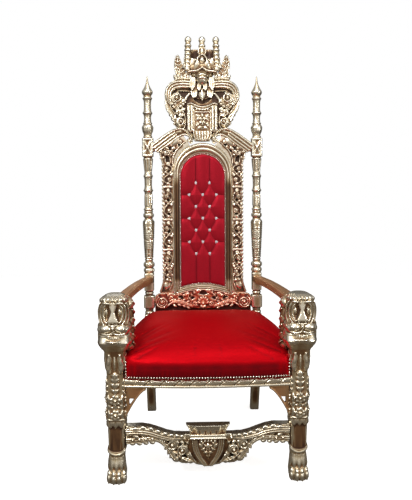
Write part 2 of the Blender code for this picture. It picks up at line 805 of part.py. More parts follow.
def side_strip():
    """The pierced strip beside the arch, widening under the shoulder of the crest rail."""
    inner = FRAME_HALF_WIDTH + GAP
    spring = FRAME_TOP - FRAME_HALF_WIDTH
    points, widths = shoulder_path()
    under = edge_of_path(points[:5], widths[:5], 1, 0.001)[1:]
    arc = arc_points(0.0, spring, inner, 0, 180 * 5 / ARCH_STEPS, 5)
    top = [(0.070, 1.318), (0.086, 1.338)]
    outer = [(0.207, 1.272), (0.198, 1.250), (0.190, 1.228)]
    scallop = []
    low, high, waves = FRAME_BOTTOM + 0.06, 1.215, 8
    for i in range(waves * 2 + 1):
        z = high - (high - low) * i / (waves * 2)
        scallop.append((STRIP_EDGE - (0.0 if i % 2 else 0.007), z))
    flare = [(0.190, 0.640), (0.197, 0.620), (0.205, STRIP_FOOT)]
    foot = [(inner, STRIP_FOOT)]
    outline = foot + arc + top + list(reversed(under)) + outer + scallop + flare
    pockets = []
    pitch = (high - low) / waves
    middle = (inner + STRIP_EDGE) / 2
    for i in range(waves):
        z = high - pitch * (i + 0.5)
        tall = 0.30 * pitch
        wide = 0.013 if i % 2 else 0.010
        turn = 0.004 if i % 2 else -0.004
        pockets.append(
            [
                (middle - wide, z), (middle + turn, z - tall), (middle + wide, z),
                (middle - turn, z + tall),
            ]
        )
    pockets.append([(0.150, 1.200), (0.172, 1.222), (0.176, 1.256), (0.156, 1.244)])
    pockets.append([(0.120, 1.270), (0.150, 1.262), (0.160, 1.290), (0.138, 1.306)])
    pockets.append([(0.086, 1.303), (0.108, 1.290), (0.122, 1.312), (0.104, 1.322)])
    shapes = [plate("strip", outline, pockets, STRIP_FRONT, STRIP_BACK, on_back)]
    for i in range(0, waves, 2):
        z = high - pitch * i - 0.02 * pitch
        shapes.append(ball("boss", on_back(middle, -STRIP_FRONT, z), (0.012, 0.007, 0.010)))
    pair("side_scrollwork", fused("side_scrollwork", shapes), "gilded_wood", GILT)


def lower_rail():
    """The carved lower rail of the back: a garland between two volutes."""
    arch = [
        (x, FRAME_BOTTOM + FRAME_FOOT_RISE * (1 - (x / FRAME_HALF_WIDTH) ** 2) - GAP)
        for x in (0.0, 0.045, 0.09)
    ]
    arch.append((FRAME_HALF_WIDTH, FRAME_BOTTOM - GAP))
    eye_x = POST_X - BLOCK_HALF - GAP - VOLUTE_RADIUS
    eye_z = 0.562
    shoulder = [(FRAME_HALF_WIDTH + 0.006, STRIP_FOOT - GAP), (0.200, STRIP_FOOT - GAP)]
    volute = arc_points(eye_x, eye_z, VOLUTE_RADIUS, 62, -128, 8)
    low = [
        (0.150, 0.551), (0.126, 0.550), (0.098, 0.544), (0.069, 0.533), (0.034, 0.532),
        (0.0, LOWER_RAIL_BOTTOM),
    ]
    right = arch + shoulder + volute + low
    outline = right + [(-x, z) for x, z in reversed(right) if x > 1e-6]
    pockets = []
    for side in (1, -1):
        pockets.append(
            [(side * 0.092, 0.578), (side * 0.106, 0.574), (side * 0.122, 0.588), (side * 0.098, 0.594)]
        )
        pockets.append(
            [(side * 0.038, 0.582), (side * 0.054, 0.572), (side * 0.076, 0.580), (side * 0.060, 0.600)]
        )
    pockets.append([(-0.034, 0.604), (0.0, 0.594), (0.034, 0.604), (0.0, 0.617)])
    front, back = LOWER_RAIL_FRONT * 0.7, LOWER_RAIL_BACK
    shapes = [plate("lower_rail", outline, pockets, front, back, on_back)]
    reach = POST_X - BLOCK_HALF - GAP
    apron = mirrored([(0.0, 0.560), (reach, 0.560), (reach, APRON_BOTTOM), (0.0, APRON_BOTTOM)])
    shapes.append(plate("apron", apron, [], -0.004, back, on_back))
    for side in (1, -1):
        shapes.append(
            ball(
                "eye", on_back(side * eye_x, -LOWER_RAIL_FRONT * 0.7, eye_z), (0.014, 0.012, 0.014), 8,
                3,
            )
        )
        leaf = smooth_curve(
            [
                (side * 0.150, 0.566), (side * 0.112, 0.560), (side * 0.070, 0.549),
                (side * 0.030, 0.546),
            ],
            2,
        )
        spread = [0.010, 0.018, 0.022, 0.024, 0.022, 0.020, 0.014]
        shapes.append(
            band(
                "leaf", [tuple(p) for p in leaf], spread, LOWER_RAIL_FRONT * 0.8, 0.002, on_back, 0.006,
            )
        )
    shapes.append(
        ball("shell", on_back(0.0, -LOWER_RAIL_FRONT * 0.7, 0.560), (0.022, 0.014, 0.026), 8, 4)
    )
    node("lower_rail", fused("lower_rail", shapes), "gilded_wood", GILT)


def crown_height(share):
    """A height in the crown, as a share of the way from its foot to the throne's top."""
    return CROWN_FOOT + (TOTAL_HEIGHT - CROWN_FOOT) * share


def crown_tine(x, base_z, lean_in):
    """One beaded arch of the crown, seen from the front as a stack of beads."""
    beads = 5
    top = TOTAL_HEIGHT if x else TOTAL_HEIGHT - 0.004
    rings = []
    for i in range(beads * 2 + 1):
        t = i / (beads * 2)
        z = base_z + (top - base_z) * t
        radius = 0.0118 if i % 2 else 0.0080
        if i == beads * 2:
            radius = 0.0050
        middle_x = x * (1 + lean_in * (1 - t) ** 2)
        centre = on_back(middle_x, -0.018 + 0.014 * t, z)
        rings.append(
            [
                centre + Vector((radius * math.cos(a), radius * math.sin(a), 0))
                for a in [2 * math.pi * (k + 0.5) / 6 for k in range(6)]
            ]
        )
    return loft("tine", rings)


def crest_rail():
    """The crest rail in one carved piece: shoulders, cartouche, shield, leaves and the crown."""
    body = [
        (
            0.0, CREST_BASE,
        ), (0.036, 1.318), (0.044, 1.345), (0.071, 1.364), (0.111, 1.370), (0.127, 1.390),
        (0.131, 1.412), (0.142, 1.435), (0.161, 1.469), (0.172, 1.500), (0.176, 1.534), (0.169, 1.564),
        (0.154, 1.585), (0.133, 1.598), (0.100, 1.602), (0.064, 1.600), (0.044, 1.616), (0.0, 1.626),
    ]
    pockets = [
        [(side * x, z) for x, z in ((0.060, 1.546), (0.112, 1.549), (0.099, 1.528), (0.086, 1.518))]
        for side in (1, -1)
    ]
    smile = [(0.048, 1.524), (0.028, 1.517), (0.0, 1.507)]
    lip = [(0.0, 1.490), (0.018, 1.494), (0.036, 1.505)]
    pockets.append(
        [(-x, z) for x, z in smile] + [
            (x, z)
            for x, z in reversed(smile[:2])
        ] + [(x, z) for x, z in reversed(lip)] + [(-x, z) for x, z in lip[1:]]
    )
    shapes = [plate("cartouche", mirrored(body), pockets, CREST_FRONT, CREST_BACK, on_back)]
    points, widths = shoulder_path()
    for side in (1, -1):
        path = [(side * x, z) for x, z in points]
        shapes.append(band("shoulder", path, widths, 0.016, 0.012, on_back, 0.006, path[0][0]))
        scroll = smooth_curve(
            [
                (0.052, 1.584), (0.100, 1.588), (0.140, 1.578), (0.162, 1.545), (0.156, 1.506),
                (0.130, 1.488), (0.106, 1.500), (0.103, 1.524), (0.120, 1.530),
            ],
            1,
        )
        spread = [0.022 - 0.0012 * i for i in range(len(scroll))]
        shapes.append(
            band("c_scroll", [(side * p.x, p.y) for p in scroll], spread, 0.020, 0.009, on_back, 0.007)
        )
        shapes.append(ball("eye", on_back(side * 0.115, -0.016, 1.516), (0.012, 0.014, 0.012)))
        scroll = smooth_curve(
            [
                (0.163, 1.494), (0.146, 1.456), (0.128, 1.430), (0.121, 1.404), (0.108, 1.388),
                (0.090, 1.396),
            ],
            1,
        )
        path = [(side * p.x, p.y) for p in scroll]
        shapes.append(band("s_scroll", path, [0.017] * len(scroll), 0.017, 0.008, on_back, 0.006))
        shapes.append(ball("eye", on_back(side * 0.100, -0.012, 1.410), (0.014, 0.016, 0.015)))
        feather = [
            (0.080, 1.604, 0.026), (0.100, 1.632, 0.044), (0.112, 1.664, 0.036), (0.113, 1.692, 0.020),
            (0.111, 1.714, 0.004),
        ]
        shapes.append(
            band(
                "feather", [(side * x, z) for x, z, _ in feather], [w for _, _, w in feather], 0.010,
                0.004, on_back, 0.008,
            )
        )
    shield = mirrored(
        [
            (0.0, 1.478), (0.045, 1.486), (0.070, 1.480), (0.070, 1.366), (0.037, 1.362),
            (0.036, 1.330), (0.018, 1.318),
        ]
    )
    shapes.append(plate("shield", shield, [], 0.024, 0.006, on_back))
    for side in (1, -1):
        shapes.append(ball("leaf", on_back(side * 0.034, -0.012, 1.560), (0.022, 0.018, 0.030), 6, 4))
    shapes.append(ball("drop", on_back(0.0, -0.012, 1.540), (0.014, 0.018, 0.034)))
    shapes.append(ball("acorn", on_back(0.0, -0.014, 1.604), (0.029, 0.026, 0.024), 8, 4))
    back_wall = []
    for z, half in (
        (crown_height(0.0), 0.050), (crown_height(0.19), 0.070), (crown_height(0.66), 0.062),
    ):
        angles = [math.pi * k / 4 for k in range(5)]
        ring = [on_back(half * math.cos(a), 0.026 * math.sin(a) - 0.004, z) for a in angles]
        ring += [
            on_back(0.86 * half * math.cos(a), 0.016 * math.sin(a) - 0.006, z)
            for a in reversed(angles)
        ]
        back_wall.append(ring)
    shapes.append(loft("crown_wall", back_wall))
    cup_levels = [
        (crown_height(-0.01), 0.044), (crown_height(0.10), 0.066), (crown_height(0.24), 0.074),
        (crown_height(0.285), 0.070),
    ]
    cup = [
        section(0.0, lean_y(z) - 0.006, half, half * 0.42, half * 0.36, z, 12)
        for z, half in cup_levels
    ]
    shapes.append(loft("crown_cup", cup))
    for x, spread in ((-0.066, 0.26), (0.0, 0.0), (0.066, 0.26)):
        shapes.append(crown_tine(x, crown_height(0.196), spread))
    node("crest_rail", fused("crest_rail", shapes), "gilded_wood", GILT)


def in_front(x, depth, z):
    """A point of the stretcher; depth is counted backwards from the axis of the legs."""
    return Vector((x, LEG_Y + depth, z))


def front_stretcher():
    """The carved stretcher between the front legs, with a flared cup over a shield in its middle."""
    reach = LEG_X - 1.02 * LEG_HALF - GAP
    top, low = STRETCHER_TOP, STRETCHER_BOTTOM
    upper = [
        (0.0, 0.178), (0.073, 0.178), (0.128, 0.180), (0.156, 0.187), (0.190, 0.200), (0.219, 0.210),
        (0.252, top), (0.285, top - 0.001), (reach, top - 0.001),
    ]
    lower = [
        (reach, 0.140), (0.272, 0.146), (0.235, 0.150), (0.213, 0.154), (0.190, 0.148),
        (0.166, 0.131), (0.148, 0.113), (0.128, 0.088), (0.116, 0.072), (0.100, 0.063),
        (0.080, 0.062), (0.058, 0.066), (0.044, 0.057), (0.024, low + 0.001), (0.0, low),
    ]
    right = upper + lower
    outline = right + [(-x, z) for x, z in reversed(right) if x > 1e-6]
    pockets = []
    for side in (1, -1):
        pockets.append(
            [
                (side * x, z)
                for x,
                z in ((0.082, 0.134), (0.088, 0.151), (0.106, 0.154), (0.118, 0.144), (0.104, 0.138))
            ]
        )
        pockets.append(
            [(side * x, z) for x, z in ((0.138, 0.150), (0.150, 0.166), (0.168, 0.162), (0.156, 0.150))]
        )
        pockets.append(
            [(side * x, z) for x, z in ((0.078, 0.086), (0.086, 0.104), (0.108, 0.100), (0.098, 0.086))]
        )
    shapes = [plate("stretcher", outline, pockets, STRETCHER_FRONT, STRETCHER_BACK, in_front)]
    cup = []
    for z, half, proud in ((0.178, 0.067, 0.030), (0.198, 0.071, 0.033), (0.2195, 0.0835, 0.040)):
        ring = [in_front(half, 0.002, z), in_front(-half, 0.002, z), in_front(-half, -0.5 * proud, z)]
        ring += [
            in_front(-half * 0.55, -proud, z), in_front(half * 0.55, -proud, z),
            in_front(half, -0.5 * proud, z),
        ]
        cup.append(ring)
    shapes.append(loft("cup", cup))
    shapes.append(
        plate(
            "collar", mirrored([(0.0, 0.184), (0.066, 0.184), (0.066, 0.163), (0.0, 0.163)]), [], 0.034,
            0.006, in_front,
        )
    )
    shield = mirrored(
        [
            (0.0, 0.166), (0.061, 0.166), (0.060, 0.140), (0.054, 0.112), (0.040, 0.088),
            (0.031, 0.068), (0.016, low + 0.002), (0.0, low + 0.002),
        ]
    )
    shapes.append(plate("shield", shield, [], 0.028, 0.004, in_front))
    for side in (1, -1):
        branch = smooth_curve(
            [
                (reach, 0.198), (0.262, 0.200), (0.220, 0.194), (0.176, 0.179), (0.132, 0.167),
                (0.085, 0.166),
            ],
            2,
        )
        spread = [0.026, 0.030, 0.030, 0.028, 0.026, 0.026, 0.026, 0.026, 0.026, 0.024, 0.018]
        path = [(side * p.x, p.y) for p in branch]
        shapes.append(band("branch", path, spread, 0.020, 0.006, in_front, 0.008, side * reach))
        scroll = smooth_curve([(0.150, 0.132), (0.124, 0.106), (0.098, 0.116), (0.100, 0.132)], 2)
        shapes.append(
            band(
                "scroll", [(side * p.x, p.y) for p in scroll], [0.016] * len(scroll), 0.020, 0.004,
                in_front, 0.006,
            )
        )
    node("front_stretcher", fused("front_stretcher", shapes), "gilded_wood", GILT)


def main():
    """Clears the scene and builds every piece of the throne."""
    for obj in list(bpy.data.objects):
        bpy.data.objects.remove(obj)
    front_leg()
    rear_post()
    arm()
    seat_rails()
    knee_bracket()
    seat()
    back_frame()
    back_panel()
    side_strip()
    lower_rail()
    crest_rail()
    front_stretcher()


main()
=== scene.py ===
"""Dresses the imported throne: carved and gilded wood, red upholstery, nails and crystal buttons."""

import logging
import math
from dataclasses import dataclass
from enum import Enum
from typing import Callable, Dict, List, Optional, Sequence, Tuple, Union

import bpy
import numpy as np
from mathutils import Euler, Matrix, Vector
from mathutils.geometry import tessellate_polygon
from mathutils.kdtree import KDTree


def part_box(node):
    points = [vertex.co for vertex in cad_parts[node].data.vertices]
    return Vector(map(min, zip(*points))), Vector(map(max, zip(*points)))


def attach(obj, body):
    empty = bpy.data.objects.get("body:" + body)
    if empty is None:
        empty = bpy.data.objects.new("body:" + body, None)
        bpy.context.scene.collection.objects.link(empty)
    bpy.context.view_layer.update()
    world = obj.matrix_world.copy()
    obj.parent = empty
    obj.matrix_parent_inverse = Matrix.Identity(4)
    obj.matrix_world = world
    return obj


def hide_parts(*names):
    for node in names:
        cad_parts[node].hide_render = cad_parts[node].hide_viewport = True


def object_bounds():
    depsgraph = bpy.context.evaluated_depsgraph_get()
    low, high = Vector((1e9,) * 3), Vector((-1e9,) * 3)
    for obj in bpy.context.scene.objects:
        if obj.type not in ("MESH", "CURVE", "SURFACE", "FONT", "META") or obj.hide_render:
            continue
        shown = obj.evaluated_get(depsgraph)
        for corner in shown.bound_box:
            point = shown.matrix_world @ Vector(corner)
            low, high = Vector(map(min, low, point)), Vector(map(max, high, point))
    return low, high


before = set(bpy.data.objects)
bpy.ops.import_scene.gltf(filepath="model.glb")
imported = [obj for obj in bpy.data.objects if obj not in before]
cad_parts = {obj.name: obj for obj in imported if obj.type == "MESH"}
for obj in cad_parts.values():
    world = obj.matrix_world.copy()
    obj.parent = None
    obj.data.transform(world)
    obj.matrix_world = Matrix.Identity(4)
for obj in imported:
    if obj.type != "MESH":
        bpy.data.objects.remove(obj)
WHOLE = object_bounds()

LOG = logging.getLogger("throne")
Array = np.ndarray
Colour = Tuple[float, float, float, float]
Number = Union[float, Sequence[float]]
Place = Callable[[Array, Array, Array], Array]

# The throne's own sizes, in metres, as its solids have them
LEG_X, LEG_Y = 0.345, -0.315
LEG_HALF, LEG_SETBACK = 0.033, 0.065
NECK_HEIGHT, HEAD_HEIGHT, HEAD_HALF_WIDTH, HEAD_BACK = 0.484, 0.236, 0.062, 0.07
POST_X, POST_SEAT_Y, POST_HALF, BLOCK_HALF = 0.256, 0.287, 0.0225, 0.026
POST_TOP, REAR_FOOT_HALF, REAR_FOOT_Y = 1.619, 0.021, 0.359
LEAN_FROM, LEAN_SLOPE = 0.44, math.tan(math.radians(3.2))
ARM_BLOCK_BOTTOM, ARM_BLOCK_TOP = 0.615, 0.698
LOW_BLOCK_BOTTOM, LOW_BLOCK_TOP = 0.534, 0.592
HIGH_BLOCK_BOTTOM, HIGH_BLOCK_TOP = 1.245, 1.333
RAIL_BOTTOM, RAIL_SHOW_TOP, RAIL_TOP, RAIL_THICKNESS, RAIL_REBATE = 0.365, 0.3965, 0.44, 0.032, 0.012
FRONT_BOW = 0.016
GAP = 0.0003
LEG_BACK_Y = LEG_Y + LEG_HALF + GAP
POST_FRONT_Y = POST_SEAT_Y - POST_HALF - GAP
FRAME_HALF_WIDTH, FRAME_MEMBER, FRAME_TOP, FRAME_BOTTOM = 0.136, 0.0275, 1.31, 0.598
FRAME_FOOT_RISE, FRAME_DEPTH = 0.027, 0.04
PANEL_TOP, PANEL_BOTTOM, PANEL_FOOT_RISE = 1.2615, 0.628, 0.019
PAD_FRONT, PAD_GAP = 0.0145, 0.0005
BUTTON_PITCH_X, BUTTON_PITCH_Z, LOWEST_BUTTON, BUTTON_ROWS = 0.064, 0.0555, 0.791, 7
STRIP_FRONT, LOWER_RAIL_FRONT = 0.014, 0.022

# The most triangles in each carved piece, which keep the whole throne under a million
MOST = {
    "lion_leg": 80000,
    "front_rail": 44000,
    "knee_bracket": 4000,
    "side_scrollwork": 72000,
    "lower_rail": 78000,
    "crest_rail": 140000,
    "front_stretcher": 85000,
}

# How fine lines are drawn, the smallest difference that counts, and the satin's threads in one band
LINE_STEP, SMALLEST, SAME, THREADS_PER_BAND = 0.003, 1e-9, 1e-6, 6.3

# The photograph's height in pixels and the height of the camera's sensor in millimetres
PHOTO_HEIGHT, SENSOR_HEIGHT = 500.0, 36.0


def lean_y(z: Array) -> Array:
    """The back's middle plane at height z, which leans from above the seat."""
    return POST_SEAT_Y + np.maximum(0.0, np.asarray(z, float) - LEAN_FROM) * LEAN_SLOPE


def on_back(u: Array, v: Array, h: Array) -> Array:
    """A point across, up and in front of the leaning back."""
    return np.stack(np.broadcast_arrays(u, lean_y(v) - h, v), -1)


def stands(p: Array) -> Array:
    """How far places stand in front of the leaning back."""
    return lean_y(p[:, 2]) - p[:, 1]


def before_legs(u: Array, v: Array, h: Array) -> Array:
    """A point across, up and in front of the line between the front legs."""
    return np.stack(np.broadcast_arrays(u, LEG_Y - h, v), -1)


def along(values: Number, t: Array) -> Array:
    """One value, or evenly spaced values, read at the shares t of a length."""
    if np.isscalar(values):
        return np.full_like(t, float(values))
    return np.interp(t, np.linspace(0.0, 1.0, len(values)), values)


def flow(points: Sequence[Sequence[float]], count: int) -> Array:
    """Evenly spaced points of one smooth curve.

    Args:
        points: the places that the curve passes, in two or three numbers each.
        count: how many points to give back.
    Returns:
        An array of count rows.
    """
    p = np.asarray(points, float)
    ends = np.vstack([2 * p[0] - p[1], p, 2 * p[-1] - p[-2]])
    t = np.linspace(0.0, 1.0, 9)[:-1, None]
    runs = []
    for i in range(len(p) - 1):
        a, b, c, d = ends[i : i + 4]
        runs.append(
            0.5 * (2 * b + (c - a) * t + (2 * a - 5 * b + 4 * c - d) * t**2 + (3 * b - a - 3 * c + d) * t**3)
        )
    fine = np.vstack(runs + [p[-1:]])
    reach = np.r_[0.0, np.cumsum(np.linalg.norm(np.diff(fine, axis=0), axis=1))]
    spots = np.linspace(0.0, reach[-1], count)
    return np.stack([np.interp(spots, reach, fine[:, k]) for k in range(p.shape[1])], -1)


def path_length(points: Sequence[Sequence[float]]) -> float:
    """The length of a line through the points."""
    return float(np.linalg.norm(np.diff(np.asarray(points, float), axis=0), axis=1).sum())


def circle(count: int) -> Array:
    """Evenly spaced angles, once round from 0."""
    return np.linspace(0.0, 2 * math.pi, count, endpoint=False)


def risen(value: Array, width: float) -> Array:
    """How far a value is on its way from 0 to width, kept between 0 and 1."""
    return np.clip(value / width, 0.0, 1.0)


def bell(value: Array, width: float) -> Array:
    """1 where the value is 0, falling off smoothly over about width to both sides."""
    return np.exp(-((value / width) ** 2))


class Profile(Enum):
    """The section of a carved strand, across its width."""

    ROUND = "round"
    SPOON = "spoon"
    CREASE = "crease"
    REEDED = "reeded"
    LEAF = "leaf"
    PETAL = "petal"

    def height(self, s: Array) -> Array:
        """The height, as a share of the crown, at s from -1 to 1 across."""
        dome = np.sqrt(np.clip(1.0 - s**2, 0.0, 1.0))
        if self is Profile.SPOON:
            return dome * (1.0 - 0.62 * bell(s, 0.42))
        if self is Profile.CREASE:
            return (1.0 - np.abs(s)) ** 0.8
        if self is Profile.REEDED:
            return dome**0.35 * (0.4 + 0.6 * np.abs(np.cos(1.5 * math.pi * s)) ** 0.8)
        if self is Profile.PETAL:
            return np.clip(1.0 - s**8, 0, 1) ** 0.5 * (
                0.7 + 0.3 * np.abs(np.clip(s, -1, 1)) ** 1.5 + 0.16 * bell(s, 0.16)
            )
        if self is Profile.LEAF:
            return dome**0.3 * (1.0 - 0.3 * np.abs(s) - 0.16 * bell(s, 0.1))
        return dome


def new_mesh(name: str, points: Array, faces: List[Sequence[int]], smooth: bool = True) -> bpy.types.Mesh:
    """A mesh datablock from points and faces."""
    mesh = bpy.data.meshes.new(name)
    mesh.from_pydata(np.asarray(points, float).reshape(-1, 3).tolist(), [], faces)
    mesh.polygons.foreach_set("use_smooth", np.full(len(mesh.polygons), smooth))
    mesh.update()
    return mesh


def new_object(name: str, mesh: bpy.types.ID) -> bpy.types.Object:
    """An object in the scene that holds the mesh or curve."""
    made = bpy.data.objects.new(name, mesh)
    bpy.context.scene.collection.objects.link(made)
    return made


def settled(obj: bpy.types.Object, name: str) -> bpy.types.Mesh:
    """The mesh of an object with all its modifiers applied; the object itself is removed."""
    bpy.context.view_layer.update()
    graph = bpy.context.evaluated_depsgraph_get()
    mesh = bpy.data.meshes.new_from_object(obj.evaluated_get(graph), depsgraph=graph)
    mesh.name = name
    data = obj.data
    bpy.data.objects.remove(obj)
    if isinstance(data, bpy.types.Mesh) and data.users == 0:
        bpy.data.meshes.remove(data)
    return mesh


def mesh_points(mesh: bpy.types.Mesh) -> Array:
    """The places of a mesh's points."""
    flat = np.empty(len(mesh.vertices) * 3, np.float32)
    mesh.vertices.foreach_get("co", flat)
    return flat.reshape(-1, 3).astype(float)


def set_points(mesh: bpy.types.Mesh, points: Array) -> None:
    """Puts a mesh's points at new places."""
    mesh.vertices.foreach_set("co", np.ascontiguousarray(points, np.float32).ravel())
    mesh.update()


def mesh_edges(mesh: bpy.types.Mesh) -> Array:
    """The pairs of points that a mesh's edges join."""
    flat = np.empty(len(mesh.edges) * 2, np.int32)
    mesh.edges.foreach_get("vertices", flat)
    return flat.reshape(-1, 2)


def relaxed(points: Array, edges: Array, rounds: int, share: float = 0.5) -> Array:
    """Points drawn towards the mean of their neighbours, a few times over."""
    count = len(points)
    ties = np.bincount(edges.ravel(), minlength=count).astype(float)[:, None]
    ties[ties == 0] = 1.0
    a, b = edges[:, 0], edges[:, 1]
    now = points.copy()
    for _ in range(rounds):
        total = np.stack(
            [np.bincount(a, now[b, k], count) + np.bincount(b, now[a, k], count) for k in range(3)], -1
        )
        now += share * (total / ties - now)
    return now


def mark_hollows(
    mesh: bpy.types.Mesh, grain: float, ground: Optional[Callable[[Array], Array]] = None
) -> None:
    """Stores how far each point stands above the carving round it, and where the surface is painted darker.

    Args:
        mesh: the finished mesh.
        grain: the usual length of its edges.
        ground: gives 0 to 1 for each place, 1 where the surface is painted darkest, as brown glaze on the
            gilt and as painted shade on some pieces.
    """
    points, edges = mesh_points(mesh), mesh_edges(mesh)
    flat = np.empty(len(mesh.vertices) * 3, np.float32)
    mesh.vertex_normals.foreach_get("vector", flat)
    normals = flat.reshape(-1, 3)
    stand = np.zeros(len(points))
    soft, done = points, 0
    for reach, full in ((0.005, 0.0013), (0.0115, 0.0042)):
        rounds = int(min(56, max(4, (reach / grain) ** 2)))
        soft = relaxed(soft, edges, max(rounds - done, 1), 0.6)
        done = rounds
        stand += 0.62 * np.clip(((points - soft) * normals).sum(1) / full, -1.2, 1.2)
    layer = mesh.attributes.new("hollow", "FLOAT", "POINT")
    layer.data.foreach_set("value", np.clip(stand, -1.0, 1.0).astype(np.float32))
    shade = np.zeros(len(points)) if ground is None else np.clip(ground(points), 0.0, 1.0)
    layer = mesh.attributes.new("ground", "FLOAT", "POINT")
    layer.data.foreach_set("value", shade.astype(np.float32))


class Carving:
    """Gathers closed strands, leaves and bosses, and melts them into one carved surface."""

    def __init__(self, place: Place) -> None:
        """Starts an empty carving whose two-number paths are set in space by place."""
        self.place = place
        self.points: List[Array] = []
        self.faces: List[Sequence[int]] = []
        self.total = 0
        self.cuts: List[Tuple[Array, Array, float, float]] = []

    def add(self, points: Array, faces: List[Sequence[int]]) -> None:
        """Takes in one closed shape."""
        start = self.total
        self.points.append(np.asarray(points, float).reshape(-1, 3))
        self.faces.extend([[i + start for i in f] for f in faces])
        self.total += len(self.points[-1])

    def tube(self, rings: Array) -> None:
        """Takes in a closed shape of rings, which are rows of equal length, capped at both ends."""
        n, m = rings.shape[:2]
        k = np.arange(m)
        i = (np.arange(n - 1)[:, None] * m + k).ravel()
        j = (np.arange(n - 1)[:, None] * m + (k + 1) % m).ravel()
        quads = np.stack([i, j, j + m, i + m], -1).tolist()
        low, high = n * m, n * m + 1
        base = (n - 1) * m
        caps = [[low, (q + 1) % m, q] for q in range(m)]
        caps += [[high, base + q, base + (q + 1) % m] for q in range(m)]
        ends = np.stack([rings[0].mean(0), rings[-1].mean(0)])
        self.add(np.vstack([rings.reshape(-1, 3), ends]), quads + caps)

    def halves(self) -> List["Half"]:
        """Its right and left halves, for what is mirrored."""
        return [Half(self, 1), Half(self, -1)]

    def take(self, node: str) -> None:
        """Takes in a copy of a CAD node, with its loose triangles joined."""
        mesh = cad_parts[node].data
        mesh.calc_loop_triangles()
        keys = np.round(mesh_points(mesh) / 2e-6).astype(np.int64)
        _, first, joined = np.unique(keys, axis=0, return_index=True, return_inverse=True)
        joined = joined.ravel()
        faces = [[int(joined[v]) for v in t.vertices] for t in mesh.loop_triangles]
        self.add(mesh_points(mesh)[first], [f for f in faces if len(set(f)) == 3])

    def relief(
        self,
        path: Sequence[Sequence[float]],
        width: Number,
        height: Number,
        profile: Profile = Profile.ROUND,
        base: Number = 0.0,
        sink: float = 0.004,
        across: int = 7,
        step: float = 0.003,
    ) -> None:
        """A raised strand along a path.

        Args:
            path: the places that it passes.
            width: its half width, or several along its length.
            height: its crown above the base, or several.
            profile: its section.
            base: the height that it stands on, or several.
            sink: how far it reaches below its base.
            across: points across its section.
            step: the spacing of its sections.
        """
        count = max(5, int(path_length(path) / step))
        line = flow(path, count)
        t = np.linspace(0.0, 1.0, count)
        w, h, b = (along(value, t)[:, None] for value in (width, height, base))
        ahead = np.gradient(line, axis=0)
        ahead /= np.maximum(np.linalg.norm(ahead, axis=1), SMALLEST)[:, None]
        s = np.sin(np.linspace(-math.pi / 2, math.pi / 2, across))
        spots = np.r_[s, 0.85, 0.0, -0.85]
        u = line[:, :1] - ahead[:, 1:2] * w * spots
        v = line[:, 1:2] + ahead[:, 0:1] * w * spots
        heights = np.concatenate([b + h * profile.height(s), np.repeat(b - sink, 3, axis=1)], 1)
        self.tube(self.place(u, v, heights))

    def petal(
        self,
        root: Sequence[float],
        tip: Sequence[float],
        width: float,
        height: float,
        bend: float = 0.0,
        profile: Profile = Profile.LEAF,
        base: Number = 0.0,
    ) -> None:
        """A drop-shaped lobe from root to tip, bent sideways by a share of its length."""
        a, b = np.asarray(root, float), np.asarray(tip, float)
        span = b - a
        middle = (a + b) / 2 + np.array([-span[1], span[0]]) * bend
        self.relief(
            [a, middle, b],
            [0.45 * width, 0.85 * width, width, 0.86 * width, 0.22 * width],
            [0.4 * height, 0.7 * height, 0.92 * height, height, 0.62 * height],
            profile,
            base,
            across=9,
            step=max(0.002, float(np.linalg.norm(span)) / 9),
        )

    def acanthus(
        self,
        path: Sequence[Sequence[float]],
        width: float,
        height: float,
        lobes: int = 4,
        base: Number = 0.0,
        spread: float = 42.0,
        rib: bool = True,
    ) -> None:
        """A leaf with paired lobes along a path and a rib down its middle.

        Args:
            path: the leaf's middle line from root to tip.
            width: how far the widest lobes reach to each side.
            height: how proud its lobes stand.
            lobes: pairs of lobes.
            base: the height of the ground under it.
            spread: the angle of the lobes to the middle line, in degrees.
            rib: whether the middle line is a raised rib.
        """
        line = flow(path, 41)
        t_base = np.linspace(0.0, 1.0, 41)
        for k in range(lobes):
            t = (k + 0.3) / (lobes + 0.7)
            spot = np.array([np.interp(t, t_base, line[:, 0]), np.interp(t, t_base, line[:, 1])])
            i = min(39, int(t * 40))
            ahead = line[i + 1] - line[i]
            ahead /= max(float(np.linalg.norm(ahead)), SMALLEST)
            size = width * (0.72 + 0.42 * math.sin(math.pi * t**0.8)) * (1.12 - 0.38 * t)
            ground = float(along(base, np.array([t]))[0])
            for side in (1, -1):
                turn = math.radians(spread) * side
                way = np.array(
                    [
                        ahead[0] * math.cos(turn) - ahead[1] * math.sin(turn),
                        ahead[0] * math.sin(turn) + ahead[1] * math.cos(turn),
                    ]
                )
                self.petal(spot, spot + way * size, 0.33 * size, height, -0.2 * side, base=ground)
        last = line[int(0.62 * 40)]
        tail = path_length(line[int(0.62 * 40) :])
        self.petal(
            last, line[-1], 0.34 * max(tail, 0.4 * width), 1.1 * height, 0.0,
            base=float(along(base, np.array([1.0]))[0]),
        )
        if rib:
            self.relief(line[:33:4], [0.13 * width, 0.06 * width], 1.25 * height, Profile.CREASE, base)

    def boss(
        self, u: float, v: float, radius: float, height: float, base: float = 0.0, stretch: float = 1.0
    ) -> None:
        """A round boss on the ground; stretch makes it taller than wide."""
        rounds = np.linspace(0.04, math.pi - 0.04, 8)
        turn = circle(12)
        r = np.sin(rounds)[:, None] * radius
        flat = base + np.cos(rounds)[:, None] * height
        self.tube(self.place(u + r * np.cos(turn), v + stretch * r * np.sin(turn), flat + 0.0 * turn))

    def ball(self, centre: Sequence[float], radii: Sequence[float]) -> None:
        """An egg-shaped body placed in space."""
        rounds = np.linspace(0.03, math.pi - 0.03, 10)
        turn = circle(14)
        x = centre[0] + radii[0] * np.sin(rounds)[:, None] * np.cos(turn)
        y = centre[1] + radii[1] * np.sin(rounds)[:, None] * np.sin(turn)
        z = centre[2] + radii[2] * np.cos(rounds)[:, None] + 0.0 * turn
        self.tube(np.stack([x, y, z], -1))

